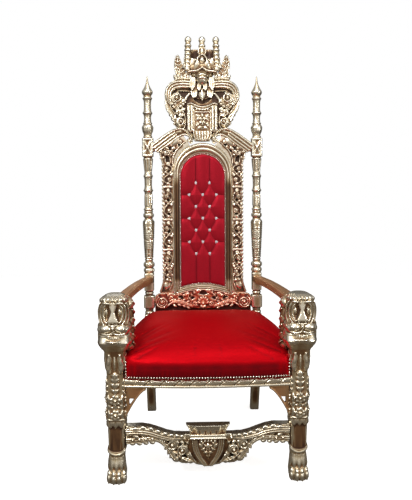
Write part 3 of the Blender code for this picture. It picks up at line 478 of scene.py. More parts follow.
    def rope(self, path: Sequence[Sequence[float]], radius: Number, flat: float = 1.0) -> None:
        """A round strand through places in space, flattened along y by flat."""
        count = max(6, int(path_length(path) / LINE_STEP))
        line = flow(path, count)
        ahead = np.gradient(line, axis=0)
        ahead /= np.maximum(np.linalg.norm(ahead, axis=1), SMALLEST)[:, None]
        front = np.array([0.0, 1.0, 0.0]) if abs(ahead[:, 1]).mean() < 0.7 else np.array([1.0, 0.0, 0.0])
        side = np.cross(ahead, front)
        side /= np.maximum(np.linalg.norm(side, axis=1), SMALLEST)[:, None]
        up = np.cross(side, ahead)
        r = along(radius, np.linspace(0.0, 1.0, count))[:, None, None]
        turn = circle(10)[None, :, None]
        rings = line[:, None] + r * (np.cos(turn) * side[:, None] + flat * np.sin(turn) * up[:, None])
        self.tube(rings)

    def volute(
        self,
        centre: Sequence[float],
        radius: float,
        start: float,
        turns: float,
        hand: int,
        width: float,
        height: float,
        base: float = 0.0,
        eye: float = 0.3,
    ) -> None:
        """A spiral strand that winds in to a round eye.

        Args:
            centre: the eye's place.
            radius: the outer end's distance from it.
            start: the outer end's angle, in degrees.
            turns: how often it winds.
            hand: 1 anticlockwise, -1 clockwise.
            width: the strand's half width at its outer end.
            height: the strand's crown.
            base: the ground's height.
            eye: the eye's radius as a share of radius.
        """
        t = np.linspace(0.0, 1.0, max(10, int(22 * turns)))
        angle = math.radians(start) + hand * 2 * math.pi * turns * t
        r = radius * ((1 - t) + t * (eye * 1.25)) - width * (1 - t)
        path = np.stack([centre[0] + r * np.cos(angle), centre[1] + r * np.sin(angle)], -1)
        self.relief(path, [width, 0.62 * width], [height, 1.15 * height], Profile.ROUND, base)
        self.boss(centre[0], centre[1], eye * radius, 1.5 * height, base)

    def plate(self, outline: Sequence[Sequence[float]], front: float, back: float) -> None:
        """A flat plate with the outline as its edge, between two heights."""
        flat = np.asarray(outline, float)
        rings = [self.place(flat[:, 0], flat[:, 1], np.full(len(flat), level)) for level in (back, front)]
        count = len(flat)
        sides = [[i, (i + 1) % count, count + (i + 1) % count, count + i] for i in range(count)]
        fill = tessellate_polygon([[(p[0], p[1], 0.0) for p in outline]])
        caps = [list(f)[::-1] for f in fill] + [[count + i for i in f] for f in fill]
        self.add(np.vstack(rings), sides + caps)

    def engrave(
        self, path: Sequence[Sequence[float]], radius: float, depth: float, height: float = 0.0
    ) -> None:
        """A groove to press into the melted surface along a path."""
        line = flow(path, max(4, int(path_length(path) / 0.0025)))
        on = self.place(line[:, 0], line[:, 1], np.full(len(line), height))
        out = self.place(line[:, 0], line[:, 1], np.full(len(line), height + 0.001)) - on
        out /= np.maximum(np.linalg.norm(out, axis=1), SMALLEST)[:, None]
        self.cuts.append((on, out, radius, depth))

    def melt(
        self,
        name: str,
        grain: float = 0.0018,
        soften: int = 1,
        ground: Optional[Callable[[Array], Array]] = None,
    ) -> bpy.types.Mesh:
        """Joins all that was gathered into one closed skin.

        Args:
            name: the mesh's name, one of those in MOST.
            grain: the size of its smallest detail.
            soften: how often its edges are rubbed down.
            ground: where the surface is painted darker, for mark_hollows.
        Returns:
            The finished mesh.
        """
        obj = new_object(name, new_mesh(name, np.vstack(self.points), self.faces))
        melt = obj.modifiers.new("Melt", "REMESH")
        melt.mode = "VOXEL"
        melt.voxel_size = grain
        mesh = settled(obj, name)
        points, edges = mesh_points(mesh), mesh_edges(mesh)
        for spots, out, radius, depth in self.cuts:
            low, high = spots.min(0) - radius, spots.max(0) + radius
            near = np.nonzero(((points >= low) & (points <= high)).all(1))[0]
            if not len(near):
                continue
            gaps = np.linalg.norm(points[near][:, None] - spots[None], axis=2)
            nearest = gaps.argmin(1)
            share = np.clip(1.0 - (gaps.min(1) / radius) ** 2, 0.0, 1.0) ** 1.5
            points[near] -= out[nearest] * (depth * share)[:, None]
        if soften:
            points = relaxed(points, edges, soften, 0.45)
        low, high = (np.array(corner) for corner in WHOLE)
        points = np.clip(points, low, high)
        set_points(mesh, points)
        triangles, most = 2 * len(mesh.polygons), MOST[name]
        if triangles > most:
            obj = new_object(name, mesh)
            thin = obj.modifiers.new("Thin", "DECIMATE")
            thin.ratio = most / triangles
            mesh = settled(obj, name)
        mesh.polygons.foreach_set("use_smooth", np.full(len(mesh.polygons), True))
        mark_hollows(mesh, grain, ground)
        return mesh


class Half:
    """One side of a carving that is mirrored across the throne's middle, drawn as its right side."""

    def __init__(self, whole: Carving, side: int) -> None:
        """Draws into the whole carving, on the right for side 1 and on the left for side -1."""
        self.whole = whole
        self.side = side

    def flipped(self, points: Sequence[Sequence[float]]) -> List[Tuple[float, float]]:
        """The points on this half's side."""
        return [(self.side * p[0], p[1]) for p in points]

    def relief(self, path: Sequence[Sequence[float]], *rest: object, **more: object) -> None:
        """A strand, as Carving.relief."""
        self.whole.relief(self.flipped(path), *rest, **more)

    def acanthus(self, path: Sequence[Sequence[float]], *rest: object, **more: object) -> None:
        """A lobed leaf, as Carving.acanthus."""
        self.whole.acanthus(self.flipped(path), *rest, **more)

    def engrave(self, path: Sequence[Sequence[float]], *rest: object) -> None:
        """A groove, as Carving.engrave."""
        self.whole.engrave(self.flipped(path), *rest)

    def boss(self, u: float, *rest: float) -> None:
        """A boss, as Carving.boss."""
        self.whole.boss(self.side * u, *rest)

    def petal(
        self,
        root: Sequence[float],
        tip: Sequence[float],
        width: float,
        height: float,
        bend: float,
        base: float,
    ) -> None:
        """A lobe, as Carving.petal."""
        self.whole.petal(*self.flipped((root, tip)), width, height, bend * self.side, base=base)

    def volute(
        self, centre: Sequence[float], radius: float, start: float, turns: float, hand: int, *rest: float
    ) -> None:
        """A spiral, as Carving.volute."""
        angle = start if self.side > 0 else 180.0 - start
        self.whole.volute(self.flipped([centre])[0], radius, angle, turns, hand * self.side, *rest)


def ring_mesh(name: str, rings: Array) -> bpy.types.Mesh:
    """A closed mesh of rings, capped at both ends."""
    shape = Carving(on_back)
    shape.tube(rings)
    return new_mesh(name, np.vstack(shape.points), shape.faces)


def turned_over(mesh: bpy.types.Mesh, name: str) -> bpy.types.Mesh:
    """The mesh as seen in a mirror across the throne's middle."""
    other = mesh.copy()
    other.name = name
    points = mesh_points(other)
    points[:, 0] *= -1
    set_points(other, points)
    other.flip_normals()
    return other


def skin(front: Array, back: Array) -> Tuple[Array, List[Sequence[int]]]:
    """A closed shell of two grids of one size, the first outside, joined round their borders.

    Args:
        front: rows and columns of points, facing the viewer with columns to the right and rows upward.
        back: the same rows and columns behind it.
    Returns:
        Points and faces.
    """
    n, m = front.shape[:2]
    index = np.arange(n * m).reshape(n, m)
    a, b, c, d = index[:-1, :-1], index[:-1, 1:], index[1:, 1:], index[1:, :-1]
    quads = np.stack([a, b, c, d], -1).reshape(-1, 4)
    rear = quads[:, ::-1] + n * m
    rim = np.r_[index[0, :-1], index[:-1, -1], index[-1, :0:-1], index[:0:-1, 0]]
    after = np.roll(rim, -1)
    sides = np.stack([after, rim, rim + n * m, after + n * m], -1)
    faces = quads.tolist() + rear.tolist() + sides.tolist()
    return np.vstack([front.reshape(-1, 3), back.reshape(-1, 3)]), faces


class Wire:
    """A shader socket that can be added, taken off and multiplied like a number."""

    def __init__(self, recipe: "Recipe", socket: bpy.types.NodeSocket) -> None:
        """Wraps one output socket of the recipe's tree."""
        self.recipe = recipe
        self.socket = socket

    def _with(self, operation: str, a: "Part", b: "Part") -> "Wire":
        """The result of one Math node."""
        return self.recipe.node("ShaderNodeMath", {"operation": operation}, {0: a, 1: b})

    def __add__(self, other: "Part") -> "Wire":
        """Self plus other."""
        return self._with("ADD", self, other)

    def __radd__(self, other: "Part") -> "Wire":
        """Other plus self."""
        return self._with("ADD", other, self)

    def __sub__(self, other: "Part") -> "Wire":
        """Self minus other."""
        return self._with("SUBTRACT", self, other)

    def __rsub__(self, other: "Part") -> "Wire":
        """Other minus self."""
        return self._with("SUBTRACT", other, self)

    def __mul__(self, other: "Part") -> "Wire":
        """Self times other."""
        return self._with("MULTIPLY", self, other)

    def __rmul__(self, other: "Part") -> "Wire":
        """Other times self."""
        return self._with("MULTIPLY", other, self)

    def kept(self) -> "Wire":
        """Self held between 0 and 1."""
        return self.recipe.node("ShaderNodeMath", {"operation": "ADD", "use_clamp": True}, {0: self, 1: 0.0})


Part = Union[Wire, float]


class Recipe:
    """A material's node tree, written step by step."""

    def __init__(self, name: str) -> None:
        """Starts an empty tree."""
        self.material = bpy.data.materials.new(name)
        self.material.use_nodes = True
        self.tree = self.material.node_tree
        self.tree.nodes.clear()
        self.place = self.node("ShaderNodeTexCoord", out="Object")

    def node(
        self,
        kind: str,
        settings: Optional[Dict[str, object]] = None,
        inputs: Optional[Dict[Union[str, int], object]] = None,
        out: Union[str, int] = 0,
    ) -> Wire:
        """Adds one node.

        Args:
            kind: the node's type.
            settings: its properties, set before its sockets; "stops" fills a ramp.
            inputs: values or wires for its sockets.
            out: which output to give back.
        Returns:
            The wire of that output.
        """
        made = self.tree.nodes.new(kind)
        for key, value in (settings or {}).items():
            if key != "stops":
                setattr(made, key, value)
                continue
            ramp = made.color_ramp
            while len(ramp.elements) < len(value):
                ramp.elements.new(0.5)
            for element, (position, colour) in zip(ramp.elements, value):
                element.position = position
                element.color = colour
        for key, value in (inputs or {}).items():
            if isinstance(value, Wire):
                self.tree.links.new(value.socket, made.inputs[key])
            else:
                made.inputs[key].default_value = value
        return Wire(self, made.outputs[out])

    def noise(self, scale: float, detail: float = 3.0, stretch: Optional[Sequence[float]] = None) -> Wire:
        """Cloudy noise over the object's own coordinates."""
        place = self.place
        if stretch:
            place = self.node("ShaderNodeMapping", None, {"Vector": self.place, "Scale": stretch})
        return self.node(
            "ShaderNodeTexNoise", None,
            {"Vector": place, "Scale": scale, "Detail": detail, "Roughness": 0.55},
        )

    def mixed(self, a: Union[Wire, Colour], b: Union[Wire, Colour], share: Part) -> Wire:
        """Colour a turning to colour b."""
        return self.node("ShaderNodeMix", {"data_type": "RGBA"}, {0: share, 6: a, 7: b}, out=2)

    def ramp(self, share: Wire, stops: Sequence[Tuple[float, Colour]]) -> Wire:
        """A colour read from stops."""
        return self.node("ShaderNodeValToRGB", {"stops": stops}, {0: share})

    def bump(self, height: Wire, distance: float, strength: float = 1.0) -> Wire:
        """A bump of that height."""
        return self.node(
            "ShaderNodeBump", None, {"Height": height, "Distance": distance, "Strength": strength}
        )

    def finish(self, sockets: Dict[str, object]) -> bpy.types.Material:
        """Closes the tree with a Principled shader."""
        shader = self.node("ShaderNodeBsdfPrincipled", None, sockets)
        self.node_output(shader)
        return self.material

    def node_output(self, shader: Wire) -> None:
        """Joins a shader to the material's output."""
        end = self.tree.nodes.new("ShaderNodeOutputMaterial")
        self.tree.links.new(shader.socket, end.inputs["Surface"])


@dataclass(frozen=True)
class GiltFinish:
    """Champagne leaf over a brown glaze that stays in the hollows."""

    name: str
    leaf: Colour = (0.9, 0.84, 0.7, 1.0)
    warm: Colour = (0.56, 0.45, 0.28, 1.0)
    glaze: Colour = (0.24, 0.125, 0.055, 1.0)
    dark: Colour = (0.062, 0.026, 0.012, 1.0)
    glazed: float = 0.24
    contrast: float = 0.8
    roughness: float = 0.26

    def make(self) -> bpy.types.Material:
        """The material."""
        r = Recipe(self.name)
        stand = r.node("ShaderNodeAttribute", {"attribute_name": "hollow"}, out="Fac")
        ground = r.node("ShaderNodeAttribute", {"attribute_name": "ground"}, out="Fac")
        drift = r.noise(9.0, 4.0)
        smear = r.noise(46.0, 3.0, (1.0, 1.0, 0.45))
        grit = r.noise(520.0, 2.0)
        # Brown glaze settles in the hollows; the ground attribute adds glaze, painted shade under the lion's
        # chin and in its eye sockets, and painted light where it is negative on the lion's face.
        depth = (
            self.glazed - self.contrast * stand + 0.42 * (drift - 0.5) + 0.3 * (smear - 0.5) + 0.9 * ground
        ).kept()
        colour = r.ramp(depth, [(0.0, self.leaf), (0.34, self.warm), (0.66, self.glaze), (1.0, self.dark)])
        return r.finish(
            {
                "Base Color": colour,
                "Metallic": 0.98 - 0.62 * depth,
                "Roughness": self.roughness + 0.3 * depth + 0.1 * (smear - 0.5),
                "Normal": r.bump(smear * 0.75 + grit * 0.25, 0.0015, 0.6),
                "Specular IOR Level": 0.5,
                "Coat Weight": 0.08,
                "Coat Roughness": 0.25,
            }
        )


@dataclass(frozen=True)
class SatinFinish:
    """Red upholstery satin with a fine weave, a soft sheen and painted shade in its hollows and low parts."""

    name: str
    red: Colour = (0.55, 0.003, 0.0075, 1.0)
    deep: Colour = (0.37, 0.0022, 0.006, 1.0)
    # dark: the colour of the painted shade in creases, under the nails and on the seat's low front
    dark: Colour = (0.085, 0.007, 0.011, 1.0)
    roughness: float = 0.42
    lustre: float = 0.4
    thread: float = 1150.0

    def make(self) -> bpy.types.Material:
        """The material."""
        r = Recipe(self.name)
        cloud = r.noise(6.0, 3.0)
        nap = r.noise(60.0, 3.0, (1.0, 1.0, 3.0))
        slub = r.noise(240.0, 2.0, (0.12, 1.0, 1.6))
        warp, weft = (
            r.node(
                "ShaderNodeTexWave",
                {"wave_type": "BANDS", "bands_direction": way},
                {"Vector": r.place, "Scale": self.thread / THREADS_PER_BAND, "Distortion": 1.2},
            )
            for way in ("X", "Z")
        )
        stand = r.node("ShaderNodeAttribute", {"attribute_name": "hollow"}, out="Fac")
        ground = r.node("ShaderNodeAttribute", {"attribute_name": "ground"}, out="Fac")
        shade = (0.5 * cloud + 0.25 * nap + 0.35 * slub - 0.05).kept()
        # Painted shade: the satin turns darker where the hollow attribute is low and where the ground
        # attribute marks it.
        painted_shade = (0.9 * ground - 0.85 * stand).kept()
        return r.finish(
            {
                "Base Color": r.mixed(r.mixed(self.deep, self.red, shade), self.dark, painted_shade),
                "Metallic": self.lustre,
                "Roughness": self.roughness + 0.16 * (slub - 0.5),
                "Normal": r.bump(0.5 * (warp * weft) + 0.8 * slub, 0.0005, 0.35),
                "Sheen Weight": 0.1,
                "Sheen Roughness": 0.35,
                "Sheen Tint": (1.0, 0.05, 0.04, 1.0),
                "Specular IOR Level": 0.06,
                "Specular Tint": (1.0, 0.1, 0.07, 1.0),
            }
        )


@dataclass(frozen=True)
class PlainFinish:
    """A simple finish: one colour with soft variation, for wood, crystal, nails and the stage."""

    name: str
    light: Colour
    shade: Colour
    roughness: float = 0.5
    metallic: float = 0.0
    clear: float = 0.0
    scale: float = 30.0
    bump: float = 0.0003
    coat: float = 0.0
    glow: float = 0.0

    def make(self) -> bpy.types.Material:
        """The material."""
        r = Recipe(self.name)
        grain = r.noise(self.scale, 4.0, (1.0, 1.0, 0.2))
        return r.finish(
            {
                "Base Color": r.mixed(self.shade, self.light, grain),
                "Metallic": self.metallic,
                "Roughness": self.roughness + 0.08 * (grain - 0.5),
                "Transmission Weight": self.clear,
                "Coat Weight": self.coat,
                "Emission Color": (1.0, 1.0, 1.0, 1.0),
                "Emission Strength": self.glow,
                "Normal": r.bump(grain, self.bump, 0.5),
            }
        )


class Finishes:
    """Every material of the throne and its stage."""

    def __init__(self) -> None:
        """Makes them all."""
        self.gilt = GiltFinish("gilt_leaf").make()
        self.glazed = GiltFinish(
            "gilt_glazed",
            leaf=(0.72, 0.46, 0.25, 1.0),
            warm=(0.52, 0.27, 0.125, 1.0),
            glaze=(0.3, 0.125, 0.052, 1.0),
            glazed=0.42,
            contrast=0.55,
            roughness=0.34,
        ).make()
        # Painted reflection: the lower rail's gilt is tinted red for the red seat mirrored in it.
        self.painted_red_reflection = GiltFinish(
            "gilt_ruddy",
            leaf=(0.94, 0.7, 0.55, 1.0),
            warm=(0.76, 0.22, 0.1, 1.0),
            glaze=(0.38, 0.055, 0.028, 1.0),
            dark=(0.08, 0.016, 0.009, 1.0),
            glazed=0.36,
            contrast=0.95,
        ).make()
        self.warm = GiltFinish(
            "gilt_warm",
            leaf=(0.9, 0.81, 0.67, 1.0),
            warm=(0.56, 0.41, 0.26, 1.0),
            glaze=(0.25, 0.11, 0.05, 1.0),
            glazed=0.34,
            contrast=0.9,
        ).make()
        # A darker copy of the gilt, painted shade for the rear rail behind the seat.
        self.ground = GiltFinish("gilt_back_painted_shade", glazed=0.62, contrast=0.3, roughness=0.4).make()
        self.satin = SatinFinish("red_satin").make()
        self.crimson = SatinFinish(
            "crimson_satin", (0.46, 0.014, 0.028, 1.0), (0.27, 0.01, 0.02, 1.0), roughness=0.38
        ).make()
        self.plain_red = SatinFinish(
            "red_lining", (0.26, 0.004, 0.008, 1.0), (0.17, 0.002, 0.005, 1.0)
        ).make()
        self.nail = PlainFinish("nail_metal", (0.9, 0.87, 0.8, 1.0), (0.7, 0.64, 0.55, 1.0), 0.22, 1.0).make()
        self.crystal = PlainFinish(
            "crystal",
            (0.95, 0.96, 1.0, 1.0),
            (0.8, 0.83, 0.92, 1.0),
            roughness=0.05,
            clear=0.35,
            scale=200.0,
            bump=0.0001,
            coat=1.0,
        ).make()
        self.plywood = PlainFinish(
            "plywood", (0.48, 0.33, 0.19, 1.0), (0.36, 0.23, 0.12, 1.0), 0.7, scale=40.0
        ).make()
        self.floor = PlainFinish(
            "pale_floor", (0.93, 0.93, 0.93, 1.0), (0.91, 0.91, 0.91, 1.0), 0.75, bump=0.0, glow=0.8
        ).make()


class Stand:
    """Puts finished pieces into the throne."""

    def __init__(self, finishes: Finishes) -> None:
        """Keeps the materials at hand."""
        self.finishes = finishes

    def put(
        self,
        name: str,
        mesh: bpy.types.Mesh,
        materials: Sequence[bpy.types.Material],
        nodes: Sequence[str] = (),
    ) -> bpy.types.Object:
        """Adds a piece that rides on the throne.

        Args:
            name: the piece's name.
            mesh: its mesh, already in place.
            materials: its materials, in the order of its faces' indexes.
            nodes: the CAD nodes that it stands for.
        Returns:
            The object.
        """
        obj = new_object(name, mesh)
        mesh.materials.clear()
        for material in materials:
            mesh.materials.append(material)
        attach(obj, "root")
        if nodes:
            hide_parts(*nodes)
        LOG.info("%s: %d faces", name, len(mesh.polygons))
        return obj

    def put_pair(
        self, stem: str, mesh: bpy.types.Mesh, materials: Sequence[bpy.types.Material],
        node: str,
    ) -> None:
        """Adds a piece for the right side and its mirror image for the left."""
        other = turned_over(mesh, f"{stem}_left")
        self.put(f"{stem}_right_carved", mesh, materials, [f"{node}_right"])
        self.put(f"{stem}_left_carved", other, materials, [f"{node}_left"])


@dataclass
class Shaft:
    """A turned or squared post given by sections up its length."""

    centre: Callable[[Array], Tuple[Array, Array]]
    sections: Sequence[Sequence[float]]

    def radius(self, z: Array, turn: Array) -> Array:
        """The distance from the axis to the surface at height z, turn radians from the front.

        Args:
            z: heights.
            turn: angles, 0 at the front and growing towards the right.
        Returns:
            The distances.
        """
        table = np.asarray(self.sections, float)
        half, front, back, square = (np.interp(z, table[:, 0], table[:, k]) for k in (1, 2, 3, 4))
        s, c = np.abs(np.sin(turn)), np.cos(turn)
        deep = np.where(c >= 0, front, back)
        power = 2.0 + 7.0 * np.clip(square, 0.0, 1.0) ** 1.5
        return ((s / half) ** power + (np.abs(c) / deep) ** power) ** (-1.0 / power)

    def at(self, z: Array, turn: Array, h: Array = 0.0) -> Array:
        """The place on the surface at that height and turn, raised by h."""
        x, y = self.centre(z)
        r = self.radius(z, turn) + h
        return np.stack(np.broadcast_arrays(x + r * np.sin(turn), y - r * np.cos(turn), z), -1)


@dataclass
class LionLeg:
    """A front leg: paw, carved shin and knee, and the lion's head under the arm."""

    grain: float = 0.002
    ring_points: int = 72
    shaft_radius: float = 0.036
    head_radius: float = 0.064

    def shaft(self) -> Shaft:
        """The leg's core."""
        s, toe, w, face = LEG_HALF, LEG_SETBACK, HEAD_HALF_WIDTH, LEG_SETBACK
        table = [
            (0.0, 0.96 * s, toe * 0.72, s, 0.4),
            (0.03, 1.06 * s, toe * 0.84, 1.06 * s, 0.3),
            (0.056, 0.98 * s, 1.16 * s, 1.0 * s, 0.2),
            (0.09, 0.9 * s, 0.9 * s, 0.92 * s, 0.3),
            (0.112, 0.94 * s, 0.92 * s, 0.96 * s, 0.4),
            (0.124, 0.92 * s, 0.9 * s, 0.94 * s, 0.75),
            (0.205, 0.96 * s, 0.94 * s, 0.97 * s, 0.8),
            (0.224, 0.98 * s, 0.96 * s, 0.98 * s, 0.5),
            (0.262, 1.04 * s, 1.08 * s, 1.02 * s, 0.3),
            (0.296, 0.96 * s, 0.94 * s, 0.98 * s, 0.4),
            (0.326, 1.04 * s, 1.08 * s, 1.0 * s, 0.3),
            (0.352, 0.94 * s, 0.92 * s, 0.96 * s, 0.7),
            (0.45, 0.92 * s, 0.9 * s, 0.97 * s, 0.6),
        ]
        head = [
            (0.0, 0.56 * w, 0.47 * face, 0.52 * HEAD_BACK, 0.5),
            (0.1, 0.66 * w, 0.57 * face, 0.72 * HEAD_BACK, 0.5),
            (0.19, 0.88 * w, 0.76 * face, 0.9 * HEAD_BACK, 0.5),
            (0.25, 0.965 * w, 0.9 * face, 0.96 * HEAD_BACK, 0.5),
            (0.285, 0.955 * w, 0.86 * face, 0.97 * HEAD_BACK, 0.4),
            (0.335, 0.94 * w, 0.74 * face, 0.97 * HEAD_BACK, 0.35),
            (0.38, 0.94 * w, 0.76 * face, 0.97 * HEAD_BACK, 0.25),
            (0.48, 0.94 * w, 0.78 * face, 0.97 * HEAD_BACK, 0.2),
            (0.56, 0.88 * w, 0.72 * face, 0.97 * HEAD_BACK, 0.25),
            (0.64, 0.83 * w, 0.58 * face, 0.97 * HEAD_BACK, 0.35),
            (0.78, 0.82 * w, 0.53 * face, 0.97 * HEAD_BACK, 0.4),
            (0.86, 0.82 * w, 0.58 * face, 0.96 * HEAD_BACK, 0.35),
            (0.93, 0.74 * w, 0.64 * face, 0.9 * HEAD_BACK, 0.3),
            (0.965, 0.62 * w, 0.56 * face, 0.84 * HEAD_BACK, 0.25),
            (0.985, 0.46 * w, 0.4 * face, 0.66 * HEAD_BACK, 0.2),
        ]
        table += [(NECK_HEIGHT + share * HEAD_HEIGHT, *rest) for share, *rest in head]
        return Shaft(lambda z: (LEG_X + 0.0 * np.asarray(z), LEG_Y + 0.0 * np.asarray(z)), table)

    def build(self) -> bpy.types.Mesh:
        """The right leg's mesh."""
        shaft = self.shaft()

        def on_shaft(u: Array, v: Array, h: Array) -> Array:
            """A place round the shaft; u is an arc's length from its front."""
            return shaft.at(v + 0.0 * u, u / self.shaft_radius + 0.0 * v, h)

        def on_head(u: Array, v: Array, h: Array) -> Array:
            """A place round the head; u is an arc's length from its front."""
            return shaft.at(v + 0.0 * u, u / self.head_radius + 0.0 * v, h)

        c = Carving(on_shaft)
        z = np.r_[
            np.linspace(0.0, 0.45, 130), np.linspace(0.455, NECK_HEIGHT + 0.985 * HEAD_HEIGHT, 90)
        ][:, None]
        turn = circle(self.ring_points)[None]
        c.tube(shaft.at(z + 0.0 * turn, turn + 0.0 * z))
        self.paw(c)
        self.shin(c)
        self.knee(c)
        self.thigh(c)
        c.place = on_head
        self.face(c)
        self.mane(c)
        return c.melt("lion_leg", self.grain, ground=self.ground)

    def ground(self, p: Array) -> Array:
        """Where the leg is painted darker or lighter: brown glaze on its shin, flanks and rear, painted shade
        under the chin and in the eye sockets, darker round the nose, and painted light on the front of the
        face.
        """
        x, y, z = p[:, 0] - LEG_X, p[:, 1] - LEG_Y, p[:, 2]
        shin = 0.3 * risen(z - 0.128, 0.006) * risen(0.216 - z, 0.006)
        # Painted shade under the chin, which faces down.
        shade_under_chin = 0.26 * risen(z - 0.485, 0.01) * risen(0.54 - z, 0.006)
        flank = 0.34 * risen(np.abs(x) - 0.048, 0.01) * risen(y + 0.03, 0.02) * risen(z - 0.5, 0.02)
        rear = 0.3 * risen(y - 0.01, 0.02)
        # Painted shade in the eye sockets.
        hole = np.exp(-(((np.abs(x) - 0.0225) / 0.009) ** 2 + ((z - 0.654) / 0.022) ** 2))
        socket = 0.24 * hole * (y < -0.02) * (y > -0.05)
        nose = 0.45 * np.exp(-((x / 0.011) ** 2 + ((z - 0.605) / 0.011) ** 2)) * (y < -0.02)
        # Painted light: the front of the face is made lighter.
        face = 0.24 * (y < -0.02) * risen(z - 0.545, 0.01)
        return shin + shade_under_chin + flank + rear + socket + nose - face

    def paw(self, c: Carving) -> None:
        """Four toes with claws, hair over the knuckles and the cuff at the ankle."""
        for x, reach in ((-0.0285, 0.052), (-0.0098, 0.0635), (0.0098, 0.0635), (0.0285, 0.052)):
            front = LEG_Y - reach
            c.ball((LEG_X + x, front + 0.0175, 0.0195), (0.0102, 0.0172, 0.0192))
            c.ball((LEG_X + x * 0.96, front + 0.0215, 0.037), (0.0094, 0.015, 0.013))
            c.rope(
                [
                    (LEG_X + x * 1.02, front + 0.007, 0.018), (LEG_X + x * 1.03, front + 0.0035, 0.01),
                    (LEG_X + x * 1.04, front + 0.006, 0.002),
                ],
                [0.0042, 0.0036, 0.0014],
            )
        for u in (-0.036, -0.018, 0.0, 0.018, 0.036):
            c.petal((u, 0.096), (u * 0.98, 0.05), 0.0078, 0.0072, 0.0)
            c.petal((u + 0.009, 0.1), (u + 0.0095, 0.064), 0.0058, 0.0058, 0.0)
        cuff = [(u, 0.108 + 0.02 * min(1.0, (abs(u) / 0.04)) ** 2) for u in np.linspace(-0.108, 0.108, 25)]
        c.relief(cuff, 0.0052, 0.006, Profile.ROUND)
        c.relief([(u, v + 0.0085) for u, v in cuff], 0.0024, 0.003, Profile.ROUND)

    def shin(self, c: Carving) -> None:
        """The plain shin with a collar of pointed leaves over it."""
        for k in range(-5, 6):
            u = k * 0.0206
            c.petal((u, 0.246), (u, 0.215), 0.0102, 0.01, 0.0, Profile.SPOON)
            c.petal((u + 0.0103, 0.244), (u + 0.0103, 0.223), 0.0064, 0.007)
        ring = [(u, 0.2465) for u in np.linspace(-0.113, 0.113, 9)]
        c.relief(ring, 0.0036, 0.007)

    def knee(self, c: Carving) -> None:
        """Two rosettes of leaves, one over the other, with leaves at their sides."""
        for height, size in ((0.266, 0.0185), (0.322, 0.02)):
            for middle in (0.0, -0.056, 0.056):
                for k in range(7):
                    a = 2 * math.pi * (k + 0.25) / 7
                    tip = (middle + size * math.cos(a), height + 1.15 * size * math.sin(a))
                    root = (middle + 0.25 * size * math.cos(a), height + 0.25 * size * math.sin(a))
                    c.petal(root, tip, 0.0066, 0.0098, 0.12)
                c.boss(middle, height, 0.006, 0.0125)
            for side in (1, -1):
                c.petal(
                    (side * 0.028, height - 0.022), (side * 0.026, height + 0.02), 0.0058, 0.007,
                    0.1 * side,
                )
        for k in range(-4, 5):
            c.petal((k * 0.0245, 0.286), (k * 0.0245 + 0.006, 0.304), 0.0068, 0.0066, 0.15)
            c.boss(k * 0.0245 + 0.012, 0.2935, 0.004, 0.006)

    def thigh(self, c: Carving) -> None:
        """Upright leaves over the knee, and the lily leaves that hang from the neck to meet them."""
        for u in (-0.075, 0.0, 0.075):
            c.acanthus([(u, 0.338), (u, 0.385), (u, 0.428)], 0.024, 0.0086, 4, spread=34)
        for u in (-0.037, 0.037, 0.11):
            c.acanthus([(u, 0.336), (u * 1.02, 0.372), (u, 0.404)], 0.017, 0.0074, 3, spread=34)
        for u in (-0.096, -0.058, -0.02, 0.02, 0.058, 0.096):
            c.petal((u * 0.8, 0.486), (u, 0.424), 0.0098, 0.0125, 0.1 if u > 0 else -0.1)
            c.petal((u * 0.92, 0.496), (u * 1.04, 0.448), 0.0062, 0.013, 0.0)
        for u in (-0.077, -0.039, 0.0, 0.039, 0.077):
            c.petal((u, 0.486), (u, 0.434), 0.0058, 0.01, 0.0, Profile.CREASE)

    def face(self, c: Carving) -> None:
        """The lion's muzzle, nose, eyes, brows, lips and teeth."""
        front = LEG_Y - LEG_SETBACK
        for side in (1, -1):

            def spot(x: float, back: float, z: float) -> Tuple[float, float, float]:
                """A place beside the face's middle, behind its foremost plane."""
                return (LEG_X + side * x, front + back, z)

            c.ball(spot(0.0265, 0.0205, 0.5975), (0.0245, 0.022, 0.0165))
            c.ball(spot(0.0425, 0.033, 0.5935), (0.018, 0.026, 0.0155))
            c.rope(
                [
                    spot(0.004, 0.005, 0.583), spot(0.02, 0.001, 0.579), spot(0.04, 0.012, 0.58),
                    spot(0.0545, 0.036, 0.586),
                ],
                [0.003, 0.004, 0.004, 0.003],
            )
            # eye: an upright almond between two curved lids
            c.ball(spot(0.0235, 0.028, 0.656), (0.0065, 0.009, 0.015))
            for points, radius in (
                (
                    (
                        (0.02, 0.0175, 0.69), (0.032, 0.019, 0.676), (0.0355, 0.0225, 0.654),
                        (0.0315, 0.019, 0.632), (0.023, 0.013, 0.618),
                    ),
                    0.004,
                ),
                (
                    (
                        (0.034, 0.019, 0.692), (0.044, 0.023, 0.676), (0.047, 0.027, 0.652),
                        (0.043, 0.024, 0.628), (0.034, 0.017, 0.614),
                    ),
                    0.0042,
                ),
                (
                    (
                        (0.048, 0.033, 0.69), (0.0545, 0.04, 0.664), (0.0545, 0.042, 0.636),
                        (0.05, 0.036, 0.612),
                    ),
                    0.0036,
                ),
                (((0.009, 0.014, 0.6905), (0.023, 0.012, 0.6925), (0.037, 0.017, 0.693)), 0.0048),
            ):
                c.rope([spot(*p) for p in points], [0.6 * radius, radius, radius, 0.7 * radius])
            c.ball(spot(0.056, 0.05, 0.5835), (0.005, 0.005, 0.005))
            c.ball(spot(0.056, 0.049, 0.5715), (0.0046, 0.0046, 0.0046))
        self.nose(c, front)
        self.mouth(c, front)
        self.forelock(c)

